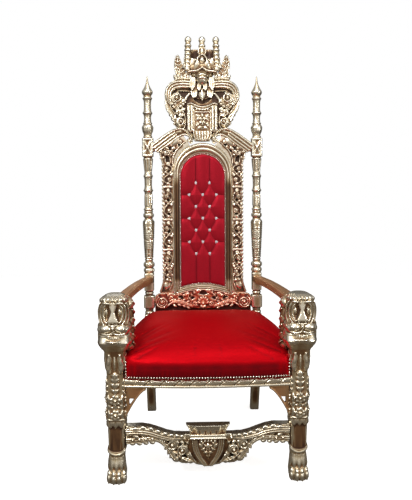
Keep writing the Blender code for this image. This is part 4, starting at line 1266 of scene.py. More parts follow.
    def nose(self, c: Carving, front: float) -> None:
        """The hourglass bridge that widens down to the flat nose."""
        rings = []
        for z, half, back in (
            (0.693, 0.015, 0.015),
            (0.68, 0.014, 0.0125),
            (0.67, 0.01, 0.0105),
            (0.66, 0.0066, 0.0085),
            (0.648, 0.01, 0.006),
            (0.634, 0.016, 0.0025),
            (0.6225, 0.021, 0.0004),
            (0.6205, 0.02, 0.005),
        ):
            edge = [
                (-1.0, 0.026), (-0.98, 0.0022), (-0.6, 0.0003), (0.0, 0.0), (0.6, 0.0003),
                (0.98, 0.0022), (1.0, 0.026),
            ]
            rings.append([(LEG_X + s * half, front + back + d, z) for s, d in edge])
        c.tube(np.array(rings[::-1]))
        c.ball((LEG_X, front + 0.015, 0.606), (0.013, 0.0115, 0.012))
        for side in (1, -1):
            c.ball((LEG_X + side * 0.012, front + 0.013, 0.6125), (0.0072, 0.01, 0.0052))
        c.rope(
            [(LEG_X, front + 0.0045, 0.603), (LEG_X, front + 0.006, 0.59), (LEG_X, front + 0.01, 0.58)],
            [0.005, 0.0032, 0.002],
        )

    def mouth(self, c: Carving, front: float) -> None:
        """The open slot with its teeth and the bright edges of the lower jaw."""
        for k in range(-5, 6):
            a = k * 0.0088
            y = front + 0.011 + 0.55 * (a**2) / 0.05
            tall = 0.0078 if abs(k) in (1, 4) else 0.0056
            c.ball((LEG_X + a, y + 0.004, 0.562), (0.0042, 0.0052, tall))
        for z, out, radius in ((0.55, 0.0035, 0.004), (0.5425, 0.008, 0.0026)):
            lip = [(LEG_X + x, front + out + 12.0 * x**2, z) for x in np.linspace(-0.057, 0.057, 13)]
            c.rope(lip, [0.6 * radius, radius, radius, radius, 0.6 * radius])
        c.engrave([(u, 0.5735) for u in np.linspace(-0.066, 0.066, 11)], 0.005, 0.0036, 0.002)

    def forelock(self, c: Carving) -> None:
        """The row of hanging curls over the brow, rounded at its corners."""
        for k in range(-5, 6):
            u = k * 0.0165
            low = 0.6905 + 0.003 * (k % 2)
            c.petal(
                (u * 0.98, 0.715 - 0.0002 * k * k), (u, low), 0.0096, 0.01 - 0.001 * abs(k), 0.0,
                Profile.ROUND,
            )
            c.petal((u + 0.003, 0.711), (u + 0.002, low + 0.004), 0.004, 0.013 - 0.0011 * abs(k), 0.25)
        for k in range(-5, 5):
            u = (k + 0.5) * 0.0165
            c.volute(
                (u, 0.705), 0.0072, 90, 1.0, 1 if k % 2 else -1, 0.0028, 0.0115 - 0.0012 * abs(k + 0.5),
                0.0, 0.34,
            )

    def mane(self, c: Carving) -> None:
        """Scalloped locks down both flanks, fullest towards the seat, and round the back of the head."""
        for side in (1, -1):
            for row, (u, low, size) in enumerate(
                ((0.079, 0.52, 0.034), (0.101, 0.503, 0.036), (0.124, 0.498, 0.038))
            ):
                for k in range(6):
                    v = low + 0.033 * k + 0.012 * (row % 2)
                    if v < 0.682:
                        c.petal(
                            (side * (u - 0.008), v + size * 0.8), (side * (u + 0.008), v), 0.011, 0.006,
                            0.22 * side,
                        )
                        c.petal(
                            (side * (u - 0.004), v + size * 0.6), (side * (u + 0.013), v + 0.008),
                            0.0056, 0.0078, 0.2 * side,
                        )
            for k in range(8):
                c.boss(side * (0.0735 + 0.0012 * k), 0.515 + 0.0068 * k, 0.003, 0.005)
        c.ball((LEG_X - 0.047, LEG_Y + 0.024, 0.6), (0.0245, 0.033, 0.108))
        for k in range(6):
            z = 0.522 + 0.031 * k
            c.ball((LEG_X - 0.0525, LEG_Y + 0.026 - 0.008 * (k % 2), z), (0.0185, 0.027, 0.0235))
            c.rope(
                [
                    (LEG_X - 0.067, LEG_Y + 0.002, z + 0.012), (LEG_X - 0.0725, LEG_Y + 0.018, z),
                    (LEG_X - 0.067, LEG_Y + 0.036, z - 0.012),
                ],
                [0.0026, 0.0038, 0.0022],
            )
        for u in (-0.165, 0.165, 0.198):
            for k in range(5):
                c.petal(
                    (u, 0.535 + 0.034 * k + 0.026), (u, 0.53 + 0.034 * k - 0.004), 0.012, 0.004, 0.1
                )


@dataclass
class RearPost:
    """A rear post: square raked leg, blocks, carved turnings and finial."""

    step: float = 0.0026
    around: int = 44
    name: str = "rear_post"

    def shaft(self) -> Shaft:
        """The post's sections, at its turnings."""
        half, block = POST_HALF, BLOCK_HALF - 0.0004

        def turned(*rows: Tuple[float, float]) -> List[Sequence[float]]:
            """Round sections, given by height and by the share of the post's half width."""
            return [(z, share * half, 0.0) for z, share in rows]

        table = [
            (0.0, REAR_FOOT_HALF, 1.0),
            (0.12, 0.0214, 1.0),
            (RAIL_BOTTOM - 0.012, half, 1.0),
            (0.502, half, 1.0),
            *turned(
                (0.505, 0.8), (0.509, 0.98), (0.514, 0.98), (0.518, 0.78), (0.524, 0.86), (0.53, 0.94),
                (LOW_BLOCK_BOTTOM, 0.94),
            ),
            (LOW_BLOCK_BOTTOM + 0.001, block, 1.0),
            (LOW_BLOCK_TOP, block, 1.0),
            *turned(
                (LOW_BLOCK_TOP + 0.001, 0.84), (0.598, 0.78), (0.604, 0.98), (0.61, 0.8),
                (ARM_BLOCK_BOTTOM, 0.84),
            ),
            (ARM_BLOCK_BOTTOM + 0.001, half, 1.0),
            (ARM_BLOCK_TOP, half, 1.0),
            *turned(
                (ARM_BLOCK_TOP + 0.002, 0.92), (0.706, 1.02), (0.722, 0.96), (0.725, 0.82), (0.729, 1.0),
                (0.748, 1.02), (0.752, 0.84), (0.757, 0.76), (0.763, 0.92), (0.768, 0.76), (0.78, 0.76),
                (0.86, 0.92), (0.93, 1.04), (0.948, 1.06), (0.954, 0.86), (0.959, 0.8), (0.966, 1.0),
                (0.978, 1.02), (0.984, 0.82), (0.989, 0.96), (0.994, 0.82), (1.0, 1.06), (1.006, 0.84),
                (1.012, 0.78), (1.022, 0.9), (1.06, 0.88), (1.078, 0.8), (1.082, 0.84), (1.089, 1.05),
                (1.096, 0.84), (1.104, 0.79), (1.144, 0.84), (1.149, 0.86), (1.156, 1.02), (1.163, 0.84),
                (1.17, 0.76), (1.186, 0.86), (1.226, 1.04), (1.236, 1.08), (1.24, 0.88),
                (HIGH_BLOCK_BOTTOM, 0.88),
            ),
            (HIGH_BLOCK_BOTTOM + 0.001, block, 1.0),
            (HIGH_BLOCK_TOP, block, 1.0),
            *turned(
                (HIGH_BLOCK_TOP + 0.001, 0.86), (1.339, 0.96), (1.344, 0.8), (1.352, 0.86),
                (1.366, 1.06), (1.382, 1.16), (1.392, 1.02), (1.396, 0.84), (1.401, 0.98), (1.406, 0.8),
                (1.414, 0.76), (1.436, 0.76), (1.442, 0.86), (1.449, 1.06), (1.456, 0.84), (1.463, 0.76),
                (1.503, 0.78), (1.51, 0.86), (1.516, 1.04), (1.522, 0.82), (1.529, 0.78), (1.537, 1.06),
                (1.546, 1.15), (1.553, 1.02), (1.566, 0.66), (1.584, 0.3), (1.602, 0.17), (1.616, 0.12),
                (POST_TOP, 0.04),
            ),
        ]

        def axis(z: Array) -> Tuple[Array, Array]:
            """The post's middle, raked below the seat and leaning above it."""
            z = np.asarray(z, float)
            rake = np.interp(z, (0.0, 0.12, 0.25, 0.36), (1.0, 0.5, 0.14, 0.0))
            return POST_X + 0.0 * z, lean_y(z) + (REAR_FOOT_Y - POST_SEAT_Y) * rake

        return Shaft(axis, [(z, r, r, r, square) for z, r, square in table])

    def carved(self, z: Array, turn: Array) -> Array:
        """The height of the carving on the post's surface.

        Args:
            z: heights.
            turn: angles from the front.
        Returns:
            How far the surface stands out, or in.
        """

        def between(low: float, high: float, edge: float = 0.004) -> Array:
            """1 between two heights, with soft ends."""
            return np.clip((z - low) / edge, 0, 1) * np.clip((high - z) / edge, 0, 1)

        out = 0.0 * z * turn
        for low, high, count, size in (
            (0.703, 0.723, 12, 0.0034),
            (0.727, 0.75, 12, 0.0038),
            (0.96, 0.983, 12, 0.0024),
            (1.016, 1.078, 9, -0.0034),
            (1.106, 1.146, 8, -0.0016),
            (1.172, 1.238, 9, -0.0038),
            (1.354, 1.392, 10, 0.0016),
            (1.415, 1.436, 8, -0.0012),
            (1.466, 1.502, 8, -0.0014),
        ):
            wave = 0.5 + 0.5 * np.cos(count * turn)
            out = out + size * between(low, high, 0.006) * (wave**0.6 if size > 0 else wave)
        leaves = 0.0 * out
        for row, (low, high) in enumerate(((0.772, 0.862), (0.812, 0.905), (0.862, 0.95))):
            t = np.clip((z - low) / (high - low), 0, 1)
            side = (turn * 6 / (2 * math.pi) + 0.5 * (row % 2)) % 1.0 - 0.5
            reach = 0.5 * (1 - t**2.2) ** 0.7 * (1 - 0.16 * np.abs(np.sin(5 * math.pi * t)))
            inside = risen(reach - np.abs(side), 0.06)
            rib = bell(side, 0.045)
            vein = 0.5 + 0.5 * np.cos(2 * math.pi * (9 * t - 7 * np.abs(side)))
            leaf = inside * (0.0026 + 0.0016 * rib + 0.0013 * vein * (1 - rib)) * (t > 0) * (t < 1)
            leaves = np.maximum(leaves, leaf * (1.0 + 0.1 * row))
        out = out + leaves
        for low, high in ((HIGH_BLOCK_BOTTOM, HIGH_BLOCK_TOP),):
            middle = (low + high) / 2
            across = BLOCK_HALF * np.tan(((turn + math.pi / 4) % (math.pi / 2)) - math.pi / 4)
            up = z - middle
            edge = risen(0.034 - np.abs(up), 0.003) * risen(0.02 - np.abs(across), 0.003)
            cross = bell(np.abs(across) / 0.02 - np.abs(up) / 0.034, 0.2)
            drop = np.exp(-((up / 0.009) ** 2 + (across / 0.007) ** 2))
            out = out + edge * (-0.0042 + 0.0042 * cross + 0.003 * drop)
        return out

    def build(self) -> bpy.types.Mesh:
        """The right post's mesh."""
        shaft = self.shaft()
        low = np.linspace(0.0, 0.49, 40)
        high = np.arange(0.494, POST_TOP, self.step)
        z = np.r_[low, high, POST_TOP][:, None]
        turn = (np.arange(self.around) + 0.5)[None] * 2 * math.pi / self.around
        rings = shaft.at(z + 0.0 * turn, turn + 0.0 * z, self.carved(z, turn))
        mesh = ring_mesh(self.name, rings)
        mark_hollows(mesh, 0.0022, self.ground)
        return mesh

    def ground(self, p: Array) -> Array:
        """The leg below the seat and the post's rear are browner."""
        leg = 0.52 * risen(0.5 - p[:, 2], 0.03)
        blocks = 0.25 * ((p[:, 2] > LOW_BLOCK_BOTTOM) & (p[:, 2] < LOW_BLOCK_TOP))
        blocks = blocks + 0.2 * ((p[:, 2] > ARM_BLOCK_BOTTOM) & (p[:, 2] < ARM_BLOCK_TOP))
        side = 0.18 * risen(p[:, 1] - lean_y(p[:, 2]) + 0.004, 0.012)
        return leg + blocks + side + 0.07


@dataclass
class ArmRail:
    """The moulded arm, from the back of the lion's head to the post's block."""

    width: float = 0.056
    thickness: float = 0.036
    bow: float = 0.018

    def build(self) -> bpy.types.Mesh:
        """The right arm's mesh."""
        front = np.array([LEG_X - 0.004, LEG_Y + HEAD_BACK + 0.0006, NECK_HEIGHT + HEAD_HEIGHT - 0.048])
        rear_z = 0.67
        rear = np.array(
            [POST_X, float(lean_y(rear_z)) - POST_HALF - LEAN_SLOPE * self.thickness - 0.0004, rear_z]
        )
        outline = []
        for k in range(48):
            a = 2 * math.pi * k / 48
            c, s = math.cos(a), math.sin(a)
            x = math.copysign(abs(c) ** 0.62, c)
            z = math.copysign(abs(s) ** 0.62, s)
            if s > 0.35:
                z -= 0.1 * math.exp(-(((abs(x) - 0.62) / 0.1) ** 2))
            outline.append((x, z))
        rings = []
        for i in range(61):
            t = i / 60
            middle = front + (rear - front) * t
            middle[0] += self.bow * math.sin(math.pi * t)
            middle[2] = float(
                np.interp(t, (0.0, 0.18, 0.47, 0.76, 1.0), (0.6675, 0.6625, 0.665, 0.6695, 0.67))
            )
            half = self.width / 2 * (1.07 - 0.27 * t - 0.06 * math.sin(math.pi * t))
            rings.append([middle + np.array([x * half, 0.0, z * self.thickness / 2]) for x, z in outline])
        mesh = ring_mesh("arm", np.array(rings)[::-1])
        mark_hollows(mesh, 0.006)
        return mesh


def front_rail_y(x: float) -> float:
    """The face of the bowed front rail."""
    reach = LEG_X - LEG_HALF
    return LEG_Y - 0.024 - FRONT_BOW * math.cos(math.pi / 2 * min(1.0, abs(x) / reach))


def side_rail_x(y: float) -> float:
    """The outer face of the right side rail."""
    t = (y - LEG_Y) / (POST_SEAT_Y - LEG_Y)
    return LEG_X + 0.02 + (POST_X + 0.016 - LEG_X - 0.02) * t


@dataclass
class SeatFrame:
    """The four rails of the seat and the brackets under them."""

    grain: float = 0.0014
    leaf_length: float = 0.056

    def section(self) -> List[Tuple[float, float]]:
        """The front rail's section: depth behind its face, and height."""
        bead = [
            (0.0046 - 0.0046 * math.sin(a), 0.3702 - 0.005 * math.cos(a))
            for a in np.linspace(0.0, math.pi, 9)
        ]
        low = [(RAIL_THICKNESS, RAIL_BOTTOM + 0.0003), (0.0046, RAIL_BOTTOM + 0.0002)]
        cove = [
            (0.0052, 0.3764), (0.004, 0.3786), (0.003, 0.385), (0.0036, 0.3915), (0.005, 0.394),
            (0.0056, 0.3962),
        ]
        top = [(RAIL_REBATE, RAIL_SHOW_TOP), (RAIL_REBATE, RAIL_TOP), (RAIL_THICKNESS, RAIL_TOP)]
        return low + bead + cove + top

    def front(self) -> bpy.types.Mesh:
        """The bowed front rail with its slanted leaf band and bead."""
        reach = LEG_X - LEG_HALF - 0.0005
        section = self.section()

        def on_rail(u: Array, v: Array, h: Array) -> Array:
            """A place on the rail's bowed face."""
            bow = FRONT_BOW * np.cos(math.pi / 2 * np.clip(np.abs(u) / (LEG_X - LEG_HALF), 0, 1))
            return np.stack(np.broadcast_arrays(u, LEG_Y - 0.024 - bow + 0.0036 - h, v), -1)

        c = Carving(on_rail)
        rings = [[(x, front_rail_y(x) + d, z) for d, z in section] for x in np.linspace(-reach, reach, 90)]
        c.tube(np.array(rings))
        count = int(2 * reach / self.leaf_length)
        for k in range(-count // 2, count // 2 + 2):
            u = (k - 0.5) * self.leaf_length
            if abs(u) > reach - 0.018:
                continue
            lean = 0.01
            c.relief(
                [(u - 0.0255, 0.3805), (u, 0.3842), (u + 0.0235, 0.3875)],
                [0.003, 0.0066, 0.0074, 0.0072, 0.004], [0.0006, 0.002, 0.0034, 0.0046, 0.0044],
                Profile.LEAF, across=11,
            )
            c.relief(
                [(u - 0.018, 0.3895), (u, 0.3908), (u + 0.018, 0.3922)], [0.001, 0.0022, 0.0012], 0.0036
            )
            c.engrave([(u + 0.0252 - lean, 0.3768), (u + 0.0252 + lean, 0.3935)], 0.0034, 0.0044)
        return c.melt("front_rail", self.grain)

    def side(self) -> bpy.types.Mesh:
        """The right side rail, moulded as the front one but without leaves."""
        rings = []
        for y in np.linspace(LEG_BACK_Y + 0.0002, POST_FRONT_Y - 0.0002, 40):
            rings.append([(side_rail_x(y) - d, y, z) for d, z in self.section()])
        mesh = ring_mesh("side_rail", np.array(rings))
        mark_hollows(mesh, 0.006)
        return mesh

    def bracket(self) -> bpy.types.Mesh:
        """The right bracket between the leg and the front rail, with its small opening."""
        lo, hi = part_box("knee_bracket_right")
        length, drop = hi.x - lo.x, hi.z - lo.z

        def on_front(u: Array, v: Array, h: Array) -> Array:
            """A place on the bracket's front; u runs from the leg inward and v down from the rail."""
            return np.stack(np.broadcast_arrays(hi.x - 0.0003 - u, lo.y + 0.002 - h, hi.z - 0.0003 - v), -1)

        def under(u: float) -> float:
            """How far the lower edge hangs at u."""
            return 0.012 + (drop - 0.0128) * (1 - min(u / length, 1.0)) ** 1.5

        curve = [(u, under(u) - 0.0006) for u in np.linspace(length - 0.0006, 0.0, 14)]
        far_end = [p for p in curve if p[0] > 0.04]
        near_end = [p for p in curve if p[0] < 0.048]
        c = Carving(on_front)
        for outline in (
            [(0.0, 0.0), (0.011, 0.0), (0.011, under(0.011)), (0.0, drop - 0.0012)],
            [(0.0, 0.0), (length - 0.0006, 0.0), *far_end, (0.0385, 0.0429), (0.0, 0.0429)],
            [*near_end, (0.0, 0.088), (0.0118, 0.0704), (0.0303, 0.0429), (0.044, 0.033)],
        ):
            c.plate(outline, 0.0, -0.0172)
        c.relief([(u, v - 0.0042) for u, v in curve[1:]], 0.0032, 0.0018, Profile.ROUND, 0.0, 0.003)
        return c.melt("knee_bracket", 0.0014)


def seat_plan(inset: float, count: int = 260) -> Array:
    """The plan of the seat, notched round the front legs, as evenly spaced points."""
    reach = (LEG_X - LEG_HALF - GAP) * 0.75
    front = [(x, front_rail_y(x) + inset) for x in np.linspace(0.0, reach, 8)]
    leg_x = LEG_X - LEG_HALF - 0.001 - inset
    leg_y = LEG_BACK_Y + 0.001 + inset
    rear_y = POST_FRONT_Y - 0.001 - inset
    corner = [
        (leg_x - 0.012, front_rail_y(leg_x) + inset),
        (leg_x - 0.004, front_rail_y(leg_x) + 0.002 + inset),
        (leg_x, front_rail_y(leg_x) + 0.008 + inset),
        (leg_x, leg_y - 0.006),
        (leg_x + 0.003, leg_y - 0.001),
        (leg_x + 0.008, leg_y),
        (side_rail_x(leg_y) - inset - 0.006, leg_y),
        (side_rail_x(leg_y) - inset, leg_y + 0.006),
    ]
    sides = [(side_rail_x(y) - inset, y) for y in (-0.15, 0.05)]
    rear = [
        (side_rail_x(rear_y) - inset, rear_y - 0.034),
        (side_rail_x(rear_y) - 0.008 - inset, rear_y - 0.01),
        (side_rail_x(rear_y) - 0.028 - inset, rear_y),
        (0.11, rear_y),
    ]
    right = front + corner + sides + rear
    ring = right + [(-x, y) for x, y in reversed(right) if x > SAME]
    closed = np.array(ring + ring[:1], float)
    reach_along = np.r_[0.0, np.cumsum(np.linalg.norm(np.diff(closed, axis=0), axis=1))]
    spots = np.linspace(0.0, reach_along[-1], count, endpoint=False)
    return np.stack([np.interp(spots, reach_along, closed[:, k]) for k in (0, 1)], -1)


@dataclass
class Cover:
    """A soft cover that is blown up as cloth, its motion passed on to a finer mesh."""

    voxel: float = 0.006
    pressure: float = 4.0
    last: int = 20
    swell: float = 0.004
    cap: float = 0.008
    stiffness: float = 0.4
    neighbours: int = 4

    def blown(self, mesh: bpy.types.Mesh, held: Callable[[Array], Array]) -> Array:
        """Where the cover's points lie after the simulation.

        Args:
            mesh: the closed cover.
            held: gives the share by which each place is held still.
        Returns:
            Its points, drawn in by swell and then moved outward by cap at the most.
        """
        points = mesh_points(mesh)
        normals = np.empty(points.size, np.float32)
        mesh.vertices.foreach_get("normal", normals)
        points -= normals.reshape(-1, 3) * (self.swell * (1.0 - np.clip(held(points), 0.0, 1.0)))[:, None]
        shell = new_object("cover", new_mesh("cover", points, [tuple(p.vertices) for p in mesh.polygons]))
        melt = shell.modifiers.new("Melt", "REMESH")
        melt.mode = "VOXEL"
        melt.voxel_size = self.voxel
        cover = settled(shell, "cover")
        start = mesh_points(cover)
        cloth = new_object("cover", cover)
        pins = cloth.vertex_groups.new(name="held")
        shares = np.round(np.clip(held(start), 0.0, 1.0), 1)
        for share in np.unique(shares[shares > 0]):
            pins.add(np.flatnonzero(shares == share).tolist(), float(share), "REPLACE")
        blow = cloth.modifiers.new("Cloth", "CLOTH")
        blow.settings.use_pressure = True
        blow.settings.uniform_pressure_force = self.pressure
        blow.settings.vertex_group_mass = "held"
        blow.settings.bending_stiffness = self.stiffness
        blow.settings.effector_weights.gravity = 0.0
        blow.collision_settings.use_collision = False
        for number in range(1, self.last + 1):
            bpy.context.scene.frame_set(number)
        after = settled(cloth, "cover")
        move = mesh_points(after) - start
        bpy.data.meshes.remove(after)
        bpy.context.scene.frame_set(1)
        far = np.maximum(np.linalg.norm(move, axis=1), SMALLEST)
        LOG.info(
            "cover: %d points, median motion %.1f mm, most %.1f mm", len(start), 1000 * np.median(far),
            1000 * far.max(),
        )
        move *= (self.cap * np.tanh(far / self.cap) / far)[:, None]
        tree = KDTree(len(start))
        for index, place in enumerate(start):
            tree.insert(place, index)
        tree.balance()
        for index, place in enumerate(points.copy()):
            found = tree.find_n(place, self.neighbours)
            weights = np.array([1.0 / (hit[2] + 0.001) for hit in found])
            points[index] += weights @ move[[hit[1] for hit in found]] / weights.sum()
        return points


@dataclass
class SeatCushion:
    """The stuffed seat: a near upright border, a roll over it and a dome."""

    base: float = 0.3968
    border: float = 0.064
    roll: float = 0.038
    dome: float = 0.07
    bulge: float = 0.0062
    wall: float = 0.0124
    over_board: float = 0.4527

    def height(self, x: Array, y: Array) -> Array:
        """The top's height over a place in the plan."""
        front = y - np.array([front_rail_y(v) for v in np.ravel(x)]).reshape(np.shape(x)) + self.bulge
        sides = side_rail_x(y) - np.abs(x)
        rear = POST_FRONT_Y - 0.001 - y
        leg_x, leg_y = LEG_X - LEG_HALF - 0.001, LEG_BACK_Y + 0.001
        notch = np.hypot(np.maximum(leg_x - np.abs(x), 0.0), np.maximum(y - leg_y, 0.0))
        edges = ((front, 0.046, 0.15), (sides, 0.034, 0.03), (rear, 0.028, 0.0), (notch, 0.03, 0.045))
        slope = np.maximum(rear, 0.0)
        roll = np.ones_like(front)
        dome = 0.35 * (1.0 - bell(slope, 0.012)) + 0.65 * (1.0 - np.exp(-((slope / 0.115) ** 1.3)))
        for gap, near, far in edges:
            gap = np.maximum(gap, 0.0)
            roll = roll * np.sqrt(1.0 - (1.0 - risen(gap, near)) ** 2)
            if far:
                dome = dome * (1.0 - np.exp(-((gap / far) ** 1.3)))
        return self.base + self.border + self.roll * roll + self.dome * dome

    def border_ring(self, out: float, z: float) -> Array:
        """One level of the border, swollen outward except beside the legs."""
        plan = seat_plan(0.0)
        fade = risen(LEG_X - LEG_HALF - 0.01 - np.abs(plan[:, 0]), 0.03)
        front = (plan[:, 1] < LEG_Y + 0.02) & (np.abs(plan[:, 0]) < LEG_X - LEG_HALF - 0.01)
        plan[:, 1] -= out * fade * front
        return np.c_[plan, np.full(len(plan), z)]

    def build(self) -> bpy.types.Mesh:
        """The cushion's mesh, blown up as cloth."""
        rings: List[Array] = []
        inner = seat_plan(self.wall)
        for scale in (0.02, 0.5, 0.97, 1.0):
            rings.append(np.c_[inner * scale, np.full(len(inner), self.over_board)])
        for z in (0.435, 0.415, self.base + 0.0004):
            rings.append(np.c_[inner, np.full(len(inner), z)])
        rings.append(np.c_[seat_plan(0.004), np.full(len(inner), self.base + 0.0002)])
        for share in np.linspace(0.02, 1.0, 16):
            swell = self.bulge * math.sin(math.pi / 2 * min(1.0, share / 0.7))
            pinch = 0.0012 * math.exp(-(((share - 0.14) / 0.05) ** 2))
            rings.append(self.border_ring(swell - pinch, self.base + self.border * share))
        outer = rings[-1][:, :2]
        crown = np.array([0.0, 0.02])
        for share in np.linspace(0.0, 1.0, 70)[1:-1]:
            flat = crown + (outer - crown) * (1 - share**1.7)
            rings.append(np.c_[flat, self.height(flat[:, 0], flat[:, 1])])
        return self.with_painted_shade(self.softened(ring_mesh("seat_cushion", np.stack(rings))))

    def held(self, p: Array) -> Array:
        """Where the cover is nailed down or lies against wood."""
        x, y, up = np.abs(p[:, 0]), p[:, 1], p[:, 2] - self.base
        low = risen(0.078 - up, 0.04)
        underside = (up < 0.062) * (np.abs(p[:, 2] - self.over_board) < 0.006)
        low = np.maximum(low, underside * (y > -0.33) * (x < side_rail_x(y) - 0.009))
        leg = np.hypot(np.maximum(LEG_X - LEG_HALF - x, 0.0), np.maximum(y - LEG_BACK_Y, 0.0))
        rear = risen(y - POST_FRONT_Y + 0.022, 0.012)
        return np.maximum.reduce([low, bell(leg, 0.02), rear])

    def softened(self, mesh: bpy.types.Mesh) -> bpy.types.Mesh:
        """The mesh with its dome rubbed smooth, blown up as cloth and with a few pulls in its cover."""
        points, edges = mesh_points(mesh), mesh_edges(mesh)
        smooth = relaxed(points, edges, 16, 0.5)
        share = risen(points[:, 2] - self.base - self.border + 0.012, 0.03)[:, None]
        set_points(mesh, points * (1 - share) + smooth * share)
        mesh.update()
        points = Cover(voxel=0.0065, swell=0.0025, cap=0.0085).blown(mesh, self.held)
        x, y, up = points[:, 0], points[:, 1], points[:, 2] - self.base
        lift = risen(up - 0.03, 0.04)
        corner = np.hypot(np.abs(x) - 0.3, y + 0.27)
        pull = bell(corner, 0.075) * np.sin(70.0 * (np.abs(x) - 0.3) - 46.0 * (y + 0.27))
        points[:, 2] += 0.0018 * lift * pull
        low = bell(up - 0.024, 0.016) * (up > 0.006) * (y < -0.31)
        uneven = 0.6 + 0.4 * np.sin(37.0 * x + 1.0)
        points[:, 1] += low * 0.00025 * np.sin(x * 2 * math.pi / 0.0206) * uneven
        drag = bell(up - 0.045, 0.02) * (y < -0.31)
        points[:, 1] += drag * 0.0006 * np.sin(x * 24.0 + 0.6) * np.sin(x * 61.0)
        set_points(mesh, points)
        return mesh

    def with_painted_shade(self, mesh: bpy.types.Mesh) -> bpy.types.Mesh:
        """The mesh with painted shade on its band under the nails and on its low front, which faces down."""
        # Painted shade: a dark band under the nails and darker satin up the low front.
        mark_hollows(
            mesh, 0.004,
            lambda p: 0.95 * risen(0.4185 - p[:, 2], 0.003) + 0.7 * risen(0.474 - p[:, 2], 0.026),
        )
        return mesh


def arch_edges(half: float, top: float, bottom: float, rise: float, count: int) -> Tuple[Array, Array, Array]:
    """The lower and upper edges of the arched panel in columns.

    Args:
        half: its half width.
        top: the crown of its arch.
        bottom: its lower corners' height.
        rise: how far its foot curves up in the middle.
        count: how many columns.
    Returns:
        The columns' places across, their lower ends and their upper ends.
    """
    x = half * np.sin(np.linspace(-math.pi / 2, math.pi / 2, count))
    spring = top - half
    return x, bottom + rise * (1 - (x / half) ** 2), spring + np.sqrt(np.maximum(half**2 - x**2, 0.0))


def arch_outline(half: float, top: float, bottom: float, rise: float, step: float = 0.006) -> Array:
    """The outline of the arched panel, anticlockwise from its lower left corner."""
    spring = top - half
    foot = [
        (x, bottom + rise * (1 - (x / half) ** 2))
        for x in np.linspace(-half, half, int(2 * half / step))
    ]
    right = [(half, z) for z in np.linspace(bottom, spring, int((spring - bottom) / step))[1:]]
    over = [
        (half * math.cos(a), spring + half * math.sin(a))
        for a in np.linspace(0, math.pi, int(math.pi * half / step))[1:]
    ]
    left = [(-half, z) for z in np.linspace(spring, bottom, int((spring - bottom) / step))[1:-1]]
    return np.array(foot + right + over + left)


